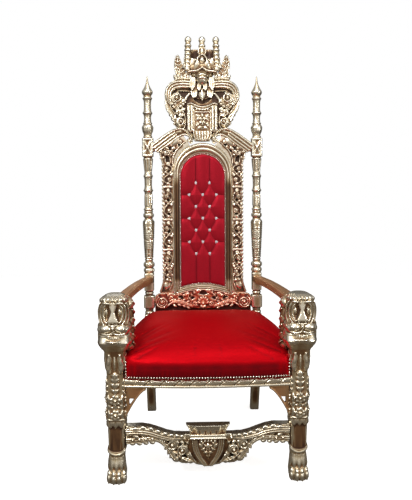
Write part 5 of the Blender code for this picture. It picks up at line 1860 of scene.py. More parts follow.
@dataclass
class BackPanel:
    """The buttoned pad in the arch, the covered board behind it and the crystal buttons."""

    columns: int = 98
    rows: int = 266
    puff: float = 0.0243
    crease: float = 0.0075
    dimple: float = 0.004

    def buttons(self) -> List[Tuple[float, float]]:
        """The buttons' places."""
        found = []
        for row in range(BUTTON_ROWS):
            z = LOWEST_BUTTON + BUTTON_PITCH_Z * row
            for column in (-0.5, 0.5) if row % 2 == 0 else (-1, 0, 1):
                found.append((column * BUTTON_PITCH_X, z))
        return found

    def creases(self) -> List[Tuple[Tuple[float, float], Tuple[float, float]]]:
        """The pleats: diamonds between buttons, upright ones at top and bottom, short ones at the sides."""
        spots = self.buttons()
        lines = []
        for i, a in enumerate(spots):
            for b in spots[i + 1 :]:
                beside = abs(abs(a[0] - b[0]) - BUTTON_PITCH_X / 2) < SAME
                above = abs(b[1] - a[1] - BUTTON_PITCH_Z) < SAME
                if beside and above:
                    lines.append((a, b))
        top = LOWEST_BUTTON + BUTTON_PITCH_Z * (BUTTON_ROWS - 1)
        for x in (-0.5 * BUTTON_PITCH_X, 0.5 * BUTTON_PITCH_X):
            lines.append(((x, top), (x, PANEL_TOP)))
            lines.append(((x, LOWEST_BUTTON), (x, PANEL_BOTTOM)))
        for row in range(1, BUTTON_ROWS, 2):
            z = LOWEST_BUTTON + BUTTON_PITCH_Z * row
            for side in (1, -1):
                lines.append(((side * BUTTON_PITCH_X, z), (side * 0.11, z)))
        return lines

    def nearness(self, x: Array, z: Array) -> Tuple[Array, Array]:
        """How far a place is from the nearest crease and from the nearest button."""
        near = np.full(x.shape, 1.0)
        for (ax, az), (bx, bz) in self.creases():
            dx, dz = bx - ax, bz - az
            t = np.clip(((x - ax) * dx + (z - az) * dz) / (dx * dx + dz * dz), 0, 1)
            bow = 0.0022 * np.sin(math.pi * t) * (1 if bx > ax else -1) * (abs(dx) > SAME) * (abs(dz) > SAME)
            near = np.minimum(near, np.hypot(x - ax - t * dx - bow, z - az - t * dz))
        button = np.full(x.shape, 1.0)
        for bx, bz in self.buttons():
            button = np.minimum(button, np.hypot(x - bx, z - bz))
        return near, button

    def held(self, p: Array) -> Array:
        """Where the cover is tufted, tacked to the frame or lies on the board."""
        x, z = p[:, 0], p[:, 2]
        near, button = self.nearness(x, z)
        half = FRAME_HALF_WIDTH - FRAME_MEMBER
        arch = half - np.hypot(x, np.maximum(z - (PANEL_TOP - half), 0.0))
        foot = z - PANEL_BOTTOM - PANEL_FOOT_RISE * (1 - (x / half) ** 2)
        edge = risen(0.012 - np.minimum(arch, foot), 0.006)
        rear = (lean_y(z) - p[:, 1] < 0.004).astype(float)
        return np.maximum.reduce([bell(near, 0.004), bell(button, 0.008), edge, rear])

    def quilted(self, x: Array, z: Array) -> Array:
        """How far the cover stands in front of the back's plane."""
        near, button = self.nearness(x, z)
        puff = 1 - np.exp(-((near / 0.0125) ** 1.05))
        tuck = bell(near, 0.0016)
        sink = np.exp(-((button / 0.0095) ** 1.5))
        return self.puff - self.crease * (1 - puff) - 0.0013 * tuck - self.dimple * sink * 0.62

    def pad(self) -> bpy.types.Mesh:
        """The buttoned pad."""
        half = FRAME_HALF_WIDTH - FRAME_MEMBER - PAD_GAP
        x, low, high = arch_edges(
            half, PANEL_TOP - PAD_GAP, PANEL_BOTTOM + PAD_GAP, PANEL_FOOT_RISE, self.columns
        )
        t = np.linspace(0.0, 1.0, self.rows)[:, None]
        z = low + (high - low) * t
        xs = x + 0.0 * z
        side = np.minimum.reduce([half - np.abs(xs), high - z + 0.0 * xs, z - low])
        arch = half - np.hypot(xs, np.maximum(z - (PANEL_TOP - half), 0.0))
        edge = np.clip(np.minimum(side, np.where(z > PANEL_TOP - half, arch, 1.0)), 0.0, 1.0)
        roll = np.sqrt(np.clip(1 - (1 - risen(edge, 0.016)) ** 2, 0, 1))
        depth = -0.004 + (self.quilted(xs, z) + 0.004) * roll
        front = on_back(xs, z, depth)
        back = on_back(xs, z, np.full(z.shape, PAD_FRONT - 0.0175))
        points, faces = skin(front, back)
        mesh = new_mesh("back_pad", points, faces)
        set_points(mesh, Cover(voxel=0.005, swell=0.002, cap=0.0045).blown(mesh, self.held))
        # Its hollows become painted shade in the satin's creases and round its buttons.
        mark_hollows(mesh, 0.0021)
        return mesh

    def cover(self) -> bpy.types.Mesh:
        """The covered board behind the pad, lightly stuffed."""
        half = FRAME_HALF_WIDTH - FRAME_MEMBER - 0.0008
        x, low, high = arch_edges(half, PANEL_TOP - 0.0008, PANEL_BOTTOM + 0.0008, PANEL_FOOT_RISE, 30)
        z = low + (high - low) * np.linspace(0.0, 1.0, 75)[:, None]
        xs = x + 0.0 * z
        arch = half - np.hypot(xs, np.maximum(z - (PANEL_TOP - half), 0.0))
        edge = np.clip(np.minimum(np.minimum(arch, half - np.abs(xs)), z - low), 0.0, 1.0)
        roll = np.sqrt(np.clip(1 - (1 - risen(edge, 0.012)) ** 2, 0, 1))
        front = on_back(xs, z, np.full(z.shape, -0.004))
        back = on_back(xs, z, -0.0085 - 0.005 * roll)
        points, faces = skin(front, back)
        return new_mesh("back_cover", points, faces)


@dataclass
class BackFrame:
    """The moulded arched frame round the pad."""

    def build(self) -> bpy.types.Mesh:
        """The frame's mesh."""
        outer = arch_outline(
            FRAME_HALF_WIDTH - GAP, FRAME_TOP - GAP, FRAME_BOTTOM + GAP, FRAME_FOOT_RISE
        )
        inner = []
        half = FRAME_HALF_WIDTH - FRAME_MEMBER
        spring_out, spring_in = FRAME_TOP - FRAME_HALF_WIDTH, PANEL_TOP - half
        for x, z in outer:
            if z >= spring_out:
                r = math.hypot(x, z - spring_out)
                inner.append((x / r * half, spring_in + (z - spring_out) / r * half))
            elif abs(abs(x) - (FRAME_HALF_WIDTH - GAP)) < SAME:
                share = (z - FRAME_BOTTOM) / (spring_out - FRAME_BOTTOM)
                inner.append((math.copysign(half, x), PANEL_BOTTOM + (spring_in - PANEL_BOTTOM) * share))
            else:
                s = x / FRAME_HALF_WIDTH
                inner.append((s * half, PANEL_BOTTOM + PANEL_FOOT_RISE * (1 - s * s)))
        inner = np.array(inner)
        front = FRAME_DEPTH * 0.55
        section = [(0.0, -0.0165), (0.0, 0.35 * front), (0.02, 0.62 * front), (0.06, 0.7 * front)]
        for a in np.linspace(0.15, math.pi - 0.15, 9):
            section.append((0.21 - 0.14 * math.cos(a), (0.66 + 0.32 * math.sin(a)) * front))
        section += [(0.37, 0.68 * front), (0.42, 0.62 * front)]
        for a in np.linspace(0.0, math.pi, 9):
            section.append((0.6 - 0.15 * math.cos(a), (0.62 + 0.22 * math.sin(a)) * front))
        section += [
            (0.78, 0.58 * front), (0.84, 0.5 * front), (0.93, 0.5 * front), (0.99, 0.44 * front),
            (1.0, 0.36 * front), (1.0, -0.0165), (0.5, -0.0175),
        ]
        rings = []
        for (ox, oz), (ix, iz) in zip(outer, inner):
            t = np.array([s[0] for s in section])
            h = np.array([s[1] for s in section])
            rings.append(on_back(ox + (ix - ox) * t, oz + (iz - oz) * t, h))
        rings = np.stack(rings)
        n, m = rings.shape[:2]
        faces = []
        for i in range(n):
            j = (i + 1) % n
            for k in range(m):
                q = (k + 1) % m
                faces.append((i * m + k, j * m + k, j * m + q, i * m + q))
        mesh = new_mesh("back_frame", rings.reshape(-1, 3), faces)
        mark_hollows(mesh, 0.004, self.ground)
        return mesh

    def ground(self, p: Array) -> Array:
        """The sides of the arch are browner than its crown and foot."""
        straight = risen(1.16 - p[:, 2], 0.05) * risen(p[:, 2] - 0.655, 0.02)
        rear = risen(p[:, 1] - lean_y(p[:, 2]), 0.006)
        inner = risen(FRAME_HALF_WIDTH - 0.017 - np.abs(p[:, 0]), 0.006) * (p[:, 2] < 1.16)
        return 0.84 * straight + 0.12 * inner + 0.3 * rear + 0.08


@dataclass
class SideScrollwork:
    """The carved strip beside the arch, under the crest's shoulder."""

    grain: float = 0.0014
    left: float = 0.1405
    right: float = 0.184

    def build(self) -> bpy.types.Mesh:
        """The right strip's mesh."""
        c = Carving(on_back)
        c.take("side_scrollwork_right")
        f = STRIP_FRONT - 0.001
        for z in np.arange(0.655, 1.215, 0.018):
            c.petal((self.right - 0.003, z), (self.right + 0.003, z + 0.017), 0.0048, 0.008, -0.2, base=f)
        for z, tall in ((0.672, 0.128), (0.816, 0.126), (0.959, 0.136), (1.112, 0.104)):
            self.scrolls(c, z, tall, f)
        for z in (0.809, 0.951, 1.104):
            c.relief(
                [(self.left + 0.001, z), (0.162, z + 0.002), (self.right, z)], 0.0056, 0.0088,
                Profile.REEDED, f, across=13,
            )
            c.boss(0.162, z + 0.016, 0.011, 0.0095, f, 0.8)
            c.petal((0.162, z - 0.004), (0.162, z - 0.026), 0.009, 0.0095, 0.0, base=f)
        self.spandrel(c, f)
        c.acanthus([(0.162, 0.742), (0.158, 0.7), (0.166, 0.655), (0.178, 0.622)], 0.025, 0.01, 4, f, 36)
        c.relief(
            [(0.183, 0.7), (0.187, 0.66), (0.197, 0.625), (0.2035, 0.609)], [0.003, 0.0046, 0.0054],
            0.009, Profile.ROUND, f,
        )
        c.relief(
            [(0.143, 0.69), (0.146, 0.65), (0.16, 0.618)], [0.003, 0.0044, 0.005], 0.0085, Profile.ROUND,
            f,
        )
        return c.melt("side_scrollwork", self.grain, ground=self.ground)

    def ground(self, p: Array) -> Array:
        """Pocket floors and the plain rear are brown."""
        stand = stands(p)
        deep = risen(STRIP_FRONT - 0.0015 - stand, 0.003)
        rear = risen(-stand - 0.004, 0.004)
        return deep * 0.9 - 0.45 * rear + 0.09

    def scrolls(self, c: Carving, z: float, tall: float, f: float) -> None:
        """One repeat: an S scroll round two pockets, crossed by a leaf."""
        left, right, middle = self.left + 0.003, self.right - 0.003, 0.162
        path = [
            (left + 0.006, z + 0.004), (right - 0.004, z + 0.16 * tall),
            (right - 0.002, z + 0.34 * tall), (middle, z + 0.5 * tall), (left + 0.002, z + 0.66 * tall),
            (left + 0.004, z + 0.84 * tall), (right - 0.008, z + tall - 0.004),
        ]
        c.relief(path, [0.0034, 0.005, 0.0056, 0.006, 0.0056, 0.005, 0.0034], 0.01, Profile.CREASE, f)
        c.volute((left + 0.0125, z + 0.245 * tall), 0.0125, 20.0, 1.15, 1, 0.0036, 0.0092, f, 0.36)
        c.volute((right - 0.0125, z + 0.755 * tall), 0.0125, 200.0, 1.15, 1, 0.0036, 0.0092, f, 0.36)
        for side, at in ((1, 0.5), (-1, 0.5)):
            c.petal(
                (middle + side * 0.003, z + at * tall),
                (middle + side * 0.019, z + (at + 0.1 * side) * tall), 0.006, 0.0115, 0.2 * side, base=f,
            )
        c.petal((left + 0.004, z + 0.42 * tall), (left + 0.001, z + 0.6 * tall), 0.0058, 0.0085, 0.2, base=f)
        c.petal(
            (right - 0.004, z + 0.58 * tall), (right - 0.001, z + 0.4 * tall), 0.0058, 0.0085, 0.2, base=f
        )
        c.boss(middle, z + 0.5 * tall, 0.0066, 0.0125, f)

    def spandrel(self, c: Carving, f: float) -> None:
        """The leaf scroll in the corner between the arch and the crest's shoulder."""
        c.acanthus(
            [(0.182, 1.222), (0.19, 1.256), (0.168, 1.292), (0.14, 1.318), (0.108, 1.33)], 0.02, 0.0095,
            5, f, 40,
        )
        c.volute((0.165, 1.262), 0.0175, -60.0, 1.3, 1, 0.0046, 0.01, f)
        c.volute((0.106, 1.314), 0.013, 100.0, 1.2, 1, 0.004, 0.0095, f)
        c.acanthus([(0.15, 1.242), (0.148, 1.27), (0.128, 1.292)], 0.014, 0.009, 3, f, 40)
        c.relief(
            [(0.1385, 1.2), (0.14, 1.235), (0.125, 1.272), (0.098, 1.3), (0.08, 1.316)],
            [0.0026, 0.0036, 0.0024], 0.007, Profile.ROUND, f,
        )
        c.relief([(0.186, 1.212), (0.192, 1.236), (0.2, 1.262)], 0.0036, 0.0075, Profile.ROUND, f)


@dataclass
class LowerRail:
    """The garland between two volutes, and the apron behind it."""

    grain: float = 0.0014
    eye_x: float = 0.1952
    eye_z: float = 0.562
    volute_radius: float = 0.034

    def build(self) -> bpy.types.Mesh:
        """The whole rail's mesh."""
        c = Carving(on_back)
        c.take("lower_rail")
        f = 0.7 * LOWER_RAIL_FRONT - 0.0005
        for half in c.halves():
            self.garland(half, f)
        for k in range(-3, 4):
            a = math.radians(90 + 25 * k)
            c.petal(
                (0.006 * math.cos(a), 0.556 + 0.006 * math.sin(a)),
                (0.03 * math.cos(a), 0.556 + 0.036 * math.sin(a)), 0.007, 0.014, 0.05 * k,
                base=f + 0.002,
            )
        for k in (-1, 0, 1):
            a = math.radians(-90 + 34 * k)
            c.petal(
                (0.004 * math.cos(a), 0.556 + 0.004 * math.sin(a)),
                (0.022 * math.cos(a), 0.5565 + 0.0265 * math.sin(a)), 0.007, 0.013, 0.0, base=f + 0.002,
            )
        c.boss(0.0, 0.556, 0.0078, 0.018, f)
        return c.melt("lower_rail", self.grain, ground=self.ground)

    def garland(self, c: Half, f: float) -> None:
        """One side: the volute, its leaves, the garland and the leaves in the arch."""
        c.volute((self.eye_x, self.eye_z), self.volute_radius, 62.0, 1.8, -1, 0.0058, 0.0105, f, 0.26)
        c.relief(
            [(0.205, 0.6025), (0.222, 0.59), (0.2285, 0.566)], [0.004, 0.0054, 0.004], 0.01,
            Profile.ROUND, f,
        )
        c.acanthus([(0.176, 0.604), (0.16, 0.59), (0.148, 0.566), (0.132, 0.556)], 0.018, 0.0105, 4, f, 40)
        c.relief(
            [(0.17, 0.545), (0.15, 0.558), (0.126, 0.566), (0.098, 0.56), (0.07, 0.549), (0.046, 0.541)],
            [0.003, 0.006, 0.0082, 0.0088, 0.0076, 0.005], 0.0085, Profile.REEDED, f + 0.0035, across=17,
        )
        for x, z in ((0.142, 0.56), (0.12, 0.564), (0.098, 0.558), (0.078, 0.55)):
            c.petal((x, z), (x - 0.018, z - 0.02), 0.0066, 0.0125, 0.2, base=f)
            c.petal((x, z), (x - 0.014, z + 0.018), 0.006, 0.0115, -0.2, base=f)
            c.boss(x - 0.004, z + 0.001, 0.0046, 0.0145, f)
        c.volute((0.0385, 0.553), 0.0165, 200.0, 1.4, 1, 0.0048, 0.0125, f, 0.3)
        c.acanthus([(0.13, 0.596), (0.108, 0.601), (0.088, 0.594), (0.066, 0.604)], 0.0125, 0.009, 4, f, 42)
        c.acanthus([(0.07, 0.57), (0.058, 0.59), (0.034, 0.612), (0.01, 0.62)], 0.012, 0.0095, 4, f, 40)
        c.relief(
            [(0.134, 0.593), (0.09, 0.6095), (0.045, 0.6185), (0.0, 0.6215)], 0.003, 0.007,
            Profile.ROUND, f,
        )

    def ground(self, p: Array) -> Array:
        """Pockets are brown and the apron is in shade."""
        stand = stands(p)
        deep = risen(0.0135 - stand, 0.003)
        rear = risen(-stand - 0.004, 0.004)
        return deep * 0.85 - 0.45 * rear


@dataclass
class CrestRail:
    """The crest: shoulders, scrolled cartouche, shield, leaves and the beaded crown."""

    grain: float = 0.0016
    scroll_face: float = 0.0195
    shield_face: float = 0.0235
    feather_face: float = 0.0135

    def build(self) -> bpy.types.Mesh:
        """The crest's mesh."""
        c = Carving(on_back)
        c.take("crest_rail")
        c.points[-1] = self.trimmed(c.points[-1])
        for half in c.halves():
            self.shoulder(half)
            self.cartouche(half)
            self.petals(half)
            self.feather(half)
        self.shield(c)
        self.helmet(c)
        self.crown(c)
        return c.melt("crest_rail", self.grain, ground=self.ground)

    def trimmed(self, p: Array) -> Array:
        """The solid's points with the round bodies under the helmet's petals pressed flat."""
        stand = stands(p)
        body = (np.abs(p[:, 0]) < 0.0575) & (p[:, 2] > 1.4885) & (p[:, 2] < 1.5925) & (stand > 0.0102)
        flat = p.copy()
        flat[:, 1] += np.where(body, 0.8 * (stand - 0.01), 0.0)
        return flat

    def ground(self, p: Array) -> Array:
        """Pocket floors, the crown's inner wall and bowl, and the plain rear are brown."""
        stand = stands(p)
        x, z = np.abs(p[:, 0]), p[:, 2]
        low_part = (z < 1.61) * (x < 0.15)
        deep = 0.8 * risen(0.008 - stand, 0.003) + 0.24 * risen(0.013 - stand, 0.003)
        under = 0.45 * (np.hypot(x / 0.03, (z - 1.562) / 0.026) < 1) * risen(0.022 - stand, 0.004)
        wall = 0.8 * (z > 1.655) * (z < 1.742) * (x < 0.058) * risen(0.006 - stand, 0.006)
        rear = risen(-stand - 0.006, 0.004) * (z < 1.61)
        crown = 0.26 * risen(z - 1.618, 0.01) * (x < 0.08) * (stand > 0.006)
        mouth = 0.5 * (np.hypot(x / 0.046, (z - 1.508) / 0.02) < 1) * risen(0.015 - stand, 0.004)
        return deep * low_part - 0.4 * rear + wall + crown + mouth + under + 0.1 * (x > 0.15) * (z < 1.36)

    def shoulder(self, c: Half) -> None:
        """The ridged band from the block up to the cartouche, and its curl."""
        end_x = POST_X - BLOCK_HALF - 0.0012
        path = [(end_x, 1.284), (0.2, 1.306), (0.16, 1.335), (0.126, 1.358)]
        c.relief(path, [0.0215, 0.022, 0.0215, 0.019], 0.0105, Profile.REEDED, 0.0165, 0.006, 19)
        inner = [
            (0.212, 1.2655), (0.186, 1.285), (0.15, 1.31), (0.118, 1.3345), (0.09, 1.348),
            (0.068, 1.344), (0.0555, 1.329), (0.059, 1.3165), (0.068, 1.317),
        ]
        c.relief(inner, [0.0036, 0.0045, 0.0052, 0.0056, 0.005, 0.0046, 0.004], 0.008, Profile.ROUND, 0.0165)
        outer = [
            (0.136, 1.365), (0.108, 1.3735), (0.08, 1.3665), (0.06, 1.348), (0.048, 1.328),
            (0.05, 1.313), (0.06, 1.308),
        ]
        c.relief(outer, [0.007, 0.0066, 0.0056, 0.0048, 0.004], 0.0085, Profile.CREASE, 0.019)
        c.boss(0.0655, 1.323, 0.0076, 0.011, 0.015)

    def cartouche(self, c: Half) -> None:
        """The big C scroll and the scrolls and leaves under it."""
        f = self.scroll_face
        c.relief(
            [
                (0.05, 1.576), (0.096, 1.5785), (0.132, 1.5715), (0.152, 1.552), (0.1575, 1.527),
                (0.153, 1.501), (0.14, 1.483),
            ],
            [0.0165, 0.019, 0.0195, 0.019, 0.016, 0.012, 0.007],
            [0.01, 0.013, 0.0135, 0.0135, 0.0125, 0.01],
            Profile.REEDED, f, 0.01, 23,
        )
        c.volute((0.118, 1.516), 0.029, -62.0, 1.5, 1, 0.006, 0.0115, f, 0.34)
        c.relief(
            [(0.171, 1.502), (0.1625, 1.468), (0.146, 1.44), (0.132, 1.408)],
            [0.005, 0.0075, 0.0068, 0.0044], 0.01, Profile.REEDED, f - 0.003, across=13,
        )
        c.relief(
            [(0.152, 1.488), (0.141, 1.462), (0.125, 1.441)], [0.004, 0.0066, 0.0034], 0.011,
            Profile.CREASE, f - 0.004,
        )
        c.relief(
            [(0.138, 1.48), (0.118, 1.464), (0.102, 1.456), (0.084, 1.459)], [0.004, 0.0075, 0.0034],
            0.011, Profile.LEAF, f - 0.006,
        )
        c.petal((0.08, 1.514), (0.102, 1.48), 0.01, 0.013, 0.12, base=f - 0.006)
        c.petal((0.096, 1.498), (0.12, 1.464), 0.009, 0.013, 0.12, base=f - 0.006)
        c.petal((0.084, 1.444), (0.112, 1.438), 0.0085, 0.012, -0.16, base=f - 0.006)
        c.petal((0.126, 1.438), (0.122, 1.414), 0.007, 0.012, 0.1, base=f - 0.004)
        c.volute((0.101, 1.408), 0.024, 80.0, 1.4, -1, 0.006, 0.0115, f - 0.004, 0.36)
        c.relief(
            [(0.084, 1.446), (0.0785, 1.415), (0.0815, 1.387), (0.094, 1.372)], [0.004, 0.0054, 0.004],
            0.011, Profile.CREASE, f - 0.007,
        )
        c.relief(
            [(0.057, 1.538), (0.074, 1.518), (0.084, 1.496)], [0.004, 0.0066, 0.004], 0.012,
            Profile.LEAF, f - 0.007,
        )
        c.acanthus([(0.134, 1.468), (0.108, 1.484), (0.078, 1.508)], 0.023, 0.013, 4, f - 0.006, 44)
        c.acanthus([(0.13, 1.448), (0.104, 1.452), (0.078, 1.47)], 0.017, 0.012, 4, f - 0.006, 44)
        for k in range(4):
            c.petal(
                (0.15 - 0.01 * k, 1.47 - 0.02 * k), (0.162 - 0.01 * k, 1.452 - 0.02 * k), 0.006, 0.011,
                0.2, base=f - 0.009,
            )

    def petals(self, c: Half) -> None:
        """The pointed petals that hang from the helmet over the cartouche and curl forward."""
        for root, tip, w, base, end in (
            ((0.0345, 1.572), (0.0365, 1.517), 0.0172, 0.0135, 0.5),
            ((0.041, 1.61), (0.0455, 1.551), 0.0158, 0.0215, 0.12),
            ((0.011, 1.586), (0.0135, 1.547), 0.0104, 0.024, 0.1),
        ):
            middle = (0.4 * root[0] + 0.6 * tip[0] + 0.002, 0.45 * root[1] + 0.55 * tip[1])
            c.relief(
                [root, middle, tip], [0.6 * w, 0.95 * w, w, 0.86 * w, end * w],
                [0.005, 0.007, 0.0085, 0.0105, 0.0115], Profile.PETAL, base, 0.01, 13,
            )

    def shield(self, c: Carving) -> None:
        """The shield with ridged pillars, a bead row, a bar, leaves and fluted drapery."""
        f = self.shield_face
        top = [
            (-0.07, 1.485), (-0.052, 1.491), (-0.026, 1.479), (0.0, 1.4735), (0.026, 1.479),
            (0.052, 1.491), (0.07, 1.485),
        ]
        c.relief(top, 0.0044, 0.01, Profile.ROUND, f - 0.004, 0.008)
        c.relief([(u, v - 0.0105) for u, v in top[1:-1]], 0.0032, 0.0075, Profile.ROUND, f - 0.002)
        for half in c.halves():
            for x, w, h in ((0.064, 0.0064, 0.0085), (0.0485, 0.0058, 0.0085), (0.0385, 0.0022, 0.005)):
                half.relief([(x, 1.476), (x, 1.43), (x, 1.366)], w, h, Profile.LEAF, f - 0.002, across=11)
            half.relief(
                [(0.04, 1.372), (0.0395, 1.345), (0.03, 1.322)], [0.0034, 0.004, 0.0026], 0.008,
                Profile.ROUND, f - 0.003,
            )
            half.relief(
                [(0.068, 1.366), (0.055, 1.362), (0.043, 1.366)], 0.0042, 0.008, Profile.ROUND, f - 0.004
            )
            half.engrave([(0.0562, 1.474), (0.0562, 1.372)], 0.0024, 0.0036, f)
            half.acanthus([(0.002, 1.398), (0.012, 1.42), (0.027, 1.438)], 0.012, 0.008, 3, f - 0.002, 40)
            half.acanthus([(0.002, 1.404), (0.018, 1.398), (0.03, 1.384)], 0.011, 0.0078, 3, f - 0.002, 40)
            half.petal((0.004, 1.384), (0.022, 1.372), 0.0068, 0.008, 0.1, base=f - 0.002)
            half.petal((0.006, 1.428), (0.026, 1.412), 0.007, 0.0085, 0.1, base=f - 0.002)
            half.boss(0.026, 1.398, 0.0054, 0.009, f - 0.002)
        for k in range(-2, 3):
            c.boss(k * 0.013, 1.4625, 0.0056, 0.0085, f - 0.002)
        c.relief([(-0.032, 1.4515), (0.0, 1.4505), (0.032, 1.4515)], 0.0034, 0.0075, Profile.ROUND, f - 0.002)
        c.acanthus([(0.0, 1.395), (0.0, 1.42), (0.0, 1.444)], 0.01, 0.0086, 3, f - 0.002, 36)
        c.acanthus([(0.0, 1.402), (0.0, 1.386), (0.0, 1.37)], 0.01, 0.0078, 3, f - 0.002, 36)
        for k in range(-2, 3):
            x, drop = k * 0.0128, 1.319 + 0.0022 * abs(k)
            c.relief(
                [(x * 1.04, 1.359 + 0.0014 * abs(k)), (x, 1.342), (x * 0.86, drop)],
                [0.005, 0.0058, 0.0046], 0.01, Profile.ROUND, f - 0.006, 0.008,
            )

    def feather(self, c: Half) -> None:
        """The upright leaf on the scroll's shoulder, with a rib and barbs."""
        f = self.feather_face
        spine = [(0.086, 1.604), (0.101, 1.634), (0.111, 1.668), (0.1135, 1.714)]
        c.relief(
            spine, [0.017, 0.0235, 0.0215, 0.016, 0.003], [0.005, 0.0075, 0.007, 0.005, 0.001],
            Profile.LEAF, f - 0.002, 0.012, 13,
        )
        c.relief(spine, [0.003, 0.0026, 0.0014], 0.0105, Profile.CREASE, f - 0.001)
        line = flow(spine, 41)
        for k in range(6):
            x, z = line[4 + 6 * k]
            for way in (1, -1):
                size = (0.027 if way > 0 else 0.0215) * math.sin(math.pi * (0.34 + 0.56 * (k + 1) / 7))
                tip = (x + way * size * 0.82, z + 0.95 * size)
                c.relief(
                    [(x, z), (x + way * size * 0.5, z + 0.38 * size), tip], [0.0016, 0.0024, 0.001],
                    0.0042, Profile.ROUND, f + 0.003,
                )
        for k in range(5):
            c.petal(
                (0.066 + 0.014 * k, 1.596), (0.068 + 0.016 * k, 1.622 + 0.004 * (k % 2)), 0.0085, 0.014,
                0.1, base=f,
            )
        c.boss(0.072, 1.624, 0.009, 0.014, f)
        c.relief(
            [(0.064, 1.603), (0.09, 1.606), (0.122, 1.602)], [0.004, 0.005, 0.0036], 0.013,
            Profile.ROUND, f,
        )

    def helmet(self, c: Carving) -> None:
        """The round boss under the crown with two bright crescents."""
        c.ball((0.0, float(lean_y(1.6)) - 0.02, 1.599), (0.027, 0.024, 0.026))
        for z, half, rise, radius, out in (
            (1.613, 0.026, 0.008, 0.0048, 0.04), (1.599, 0.024, 0.007, 0.005, 0.0445)
        ):
            path = [
                (x, float(lean_y(z)) - out + 18.0 * x * x, z + rise * (1 - (x / half) ** 2))
                for x in np.linspace(-half, half, 9)
            ]
            c.rope(path, [0.4 * radius, radius, radius, radius, 0.4 * radius])
        c.relief(
            [(0.0, 1.562), (0.0, 1.53), (0.0, 1.5)], [0.011, 0.0165, 0.014, 0.0012],
            [0.004, 0.008, 0.011, 0.012], Profile.CREASE, 0.015, 0.01, 13,
        )

    def crown(self, c: Carving) -> None:
        """The beaded tines, the ribbons and the leaves round the crown's base."""
        for x in (-0.064, 0.0, 0.064):
            self.tine(c, x)
        for half in c.halves():
            half.relief(
                [(0.066, 1.634), (0.048, 1.636), (0.03, 1.637), (0.014, 1.644), (-0.004, 1.656)],
                [0.003, 0.0052, 0.006, 0.0056, 0.0026], 0.009, Profile.ROUND, 0.03, 0.01,
            )
            half.relief(
                [(0.0, 1.662), (0.016, 1.676), (0.022, 1.692), (0.012, 1.706), (0.0, 1.713)],
                [0.0036, 0.0046, 0.0032], 0.01, Profile.ROUND, 0.024, 0.008,
            )
            half.relief(
                [(0.054, 1.65), (0.05, 1.668), (0.042, 1.684), (0.03, 1.692)], [0.006, 0.01, 0.0048],
                0.01, Profile.SPOON, 0.022, 0.012,
            )
            half.petal((0.058, 1.648), (0.047, 1.698), 0.0125, 0.012, 0.14, base=0.021)
            half.petal((0.033, 1.646), (0.022, 1.686), 0.013, 0.013, 0.1, base=0.027)
            half.petal((0.058, 1.62), (0.07, 1.652), 0.01, 0.012, 0.12, base=0.018)
            half.relief(
                [(0.058, 1.735), (0.036, 1.741), (0.014, 1.735)], 0.0042, 0.005, Profile.ROUND, -0.012,
                0.006,
            )
            for k in range(4):
                half.boss(0.018 + 0.012 * k, 1.74, 0.005, 0.006, -0.012)

    def tine(self, c: Carving, x: float) -> None:
        """One tine: a thick stem of beads, with a ringed bead in the middle one."""

        def spot(z: float, out: float = 0.0) -> Tuple[float, float, float]:
            """A place on the tine's middle line."""
            t = (z - 1.652) / (1.8 - 1.652)
            return (x * (1 + 0.06 * (1 - t)), float(lean_y(z)) - 0.018 + 0.014 * t - out, z)

        c.rope([spot(z) for z in (1.64, 1.68, 1.72, 1.76, 1.78)], [0.015, 0.0146, 0.0142, 0.0138, 0.012])
        c.ball(spot(1.7832), (0.0164, 0.015, 0.016))
        if x:
            for z, r, tall in (
                (1.756, 0.017, 0.01), (1.7355, 0.0172, 0.01), (1.7155, 0.0168, 0.0094),
                (1.6965, 0.0162, 0.009), (1.6785, 0.0158, 0.0088), (1.6615, 0.0154, 0.0084),
            ):
                c.ball(spot(z, 0.002), (r, r * 0.95, tall))
            return
        c.ball(spot(1.755, 0.0015), (0.017, 0.0155, 0.0108))
        c.ball(spot(1.729, 0.006), (0.0088, 0.01, 0.011))
        c.ball(spot(1.688, 0.006), (0.0125, 0.012, 0.0145))
        turns = np.linspace(0, 2 * math.pi, 25)
        c.rope(
            [(0.0165 * math.sin(a), spot(1.729, 0.006)[1], 1.729 + 0.0185 * math.cos(a)) for a in turns],
            0.0042,
        )


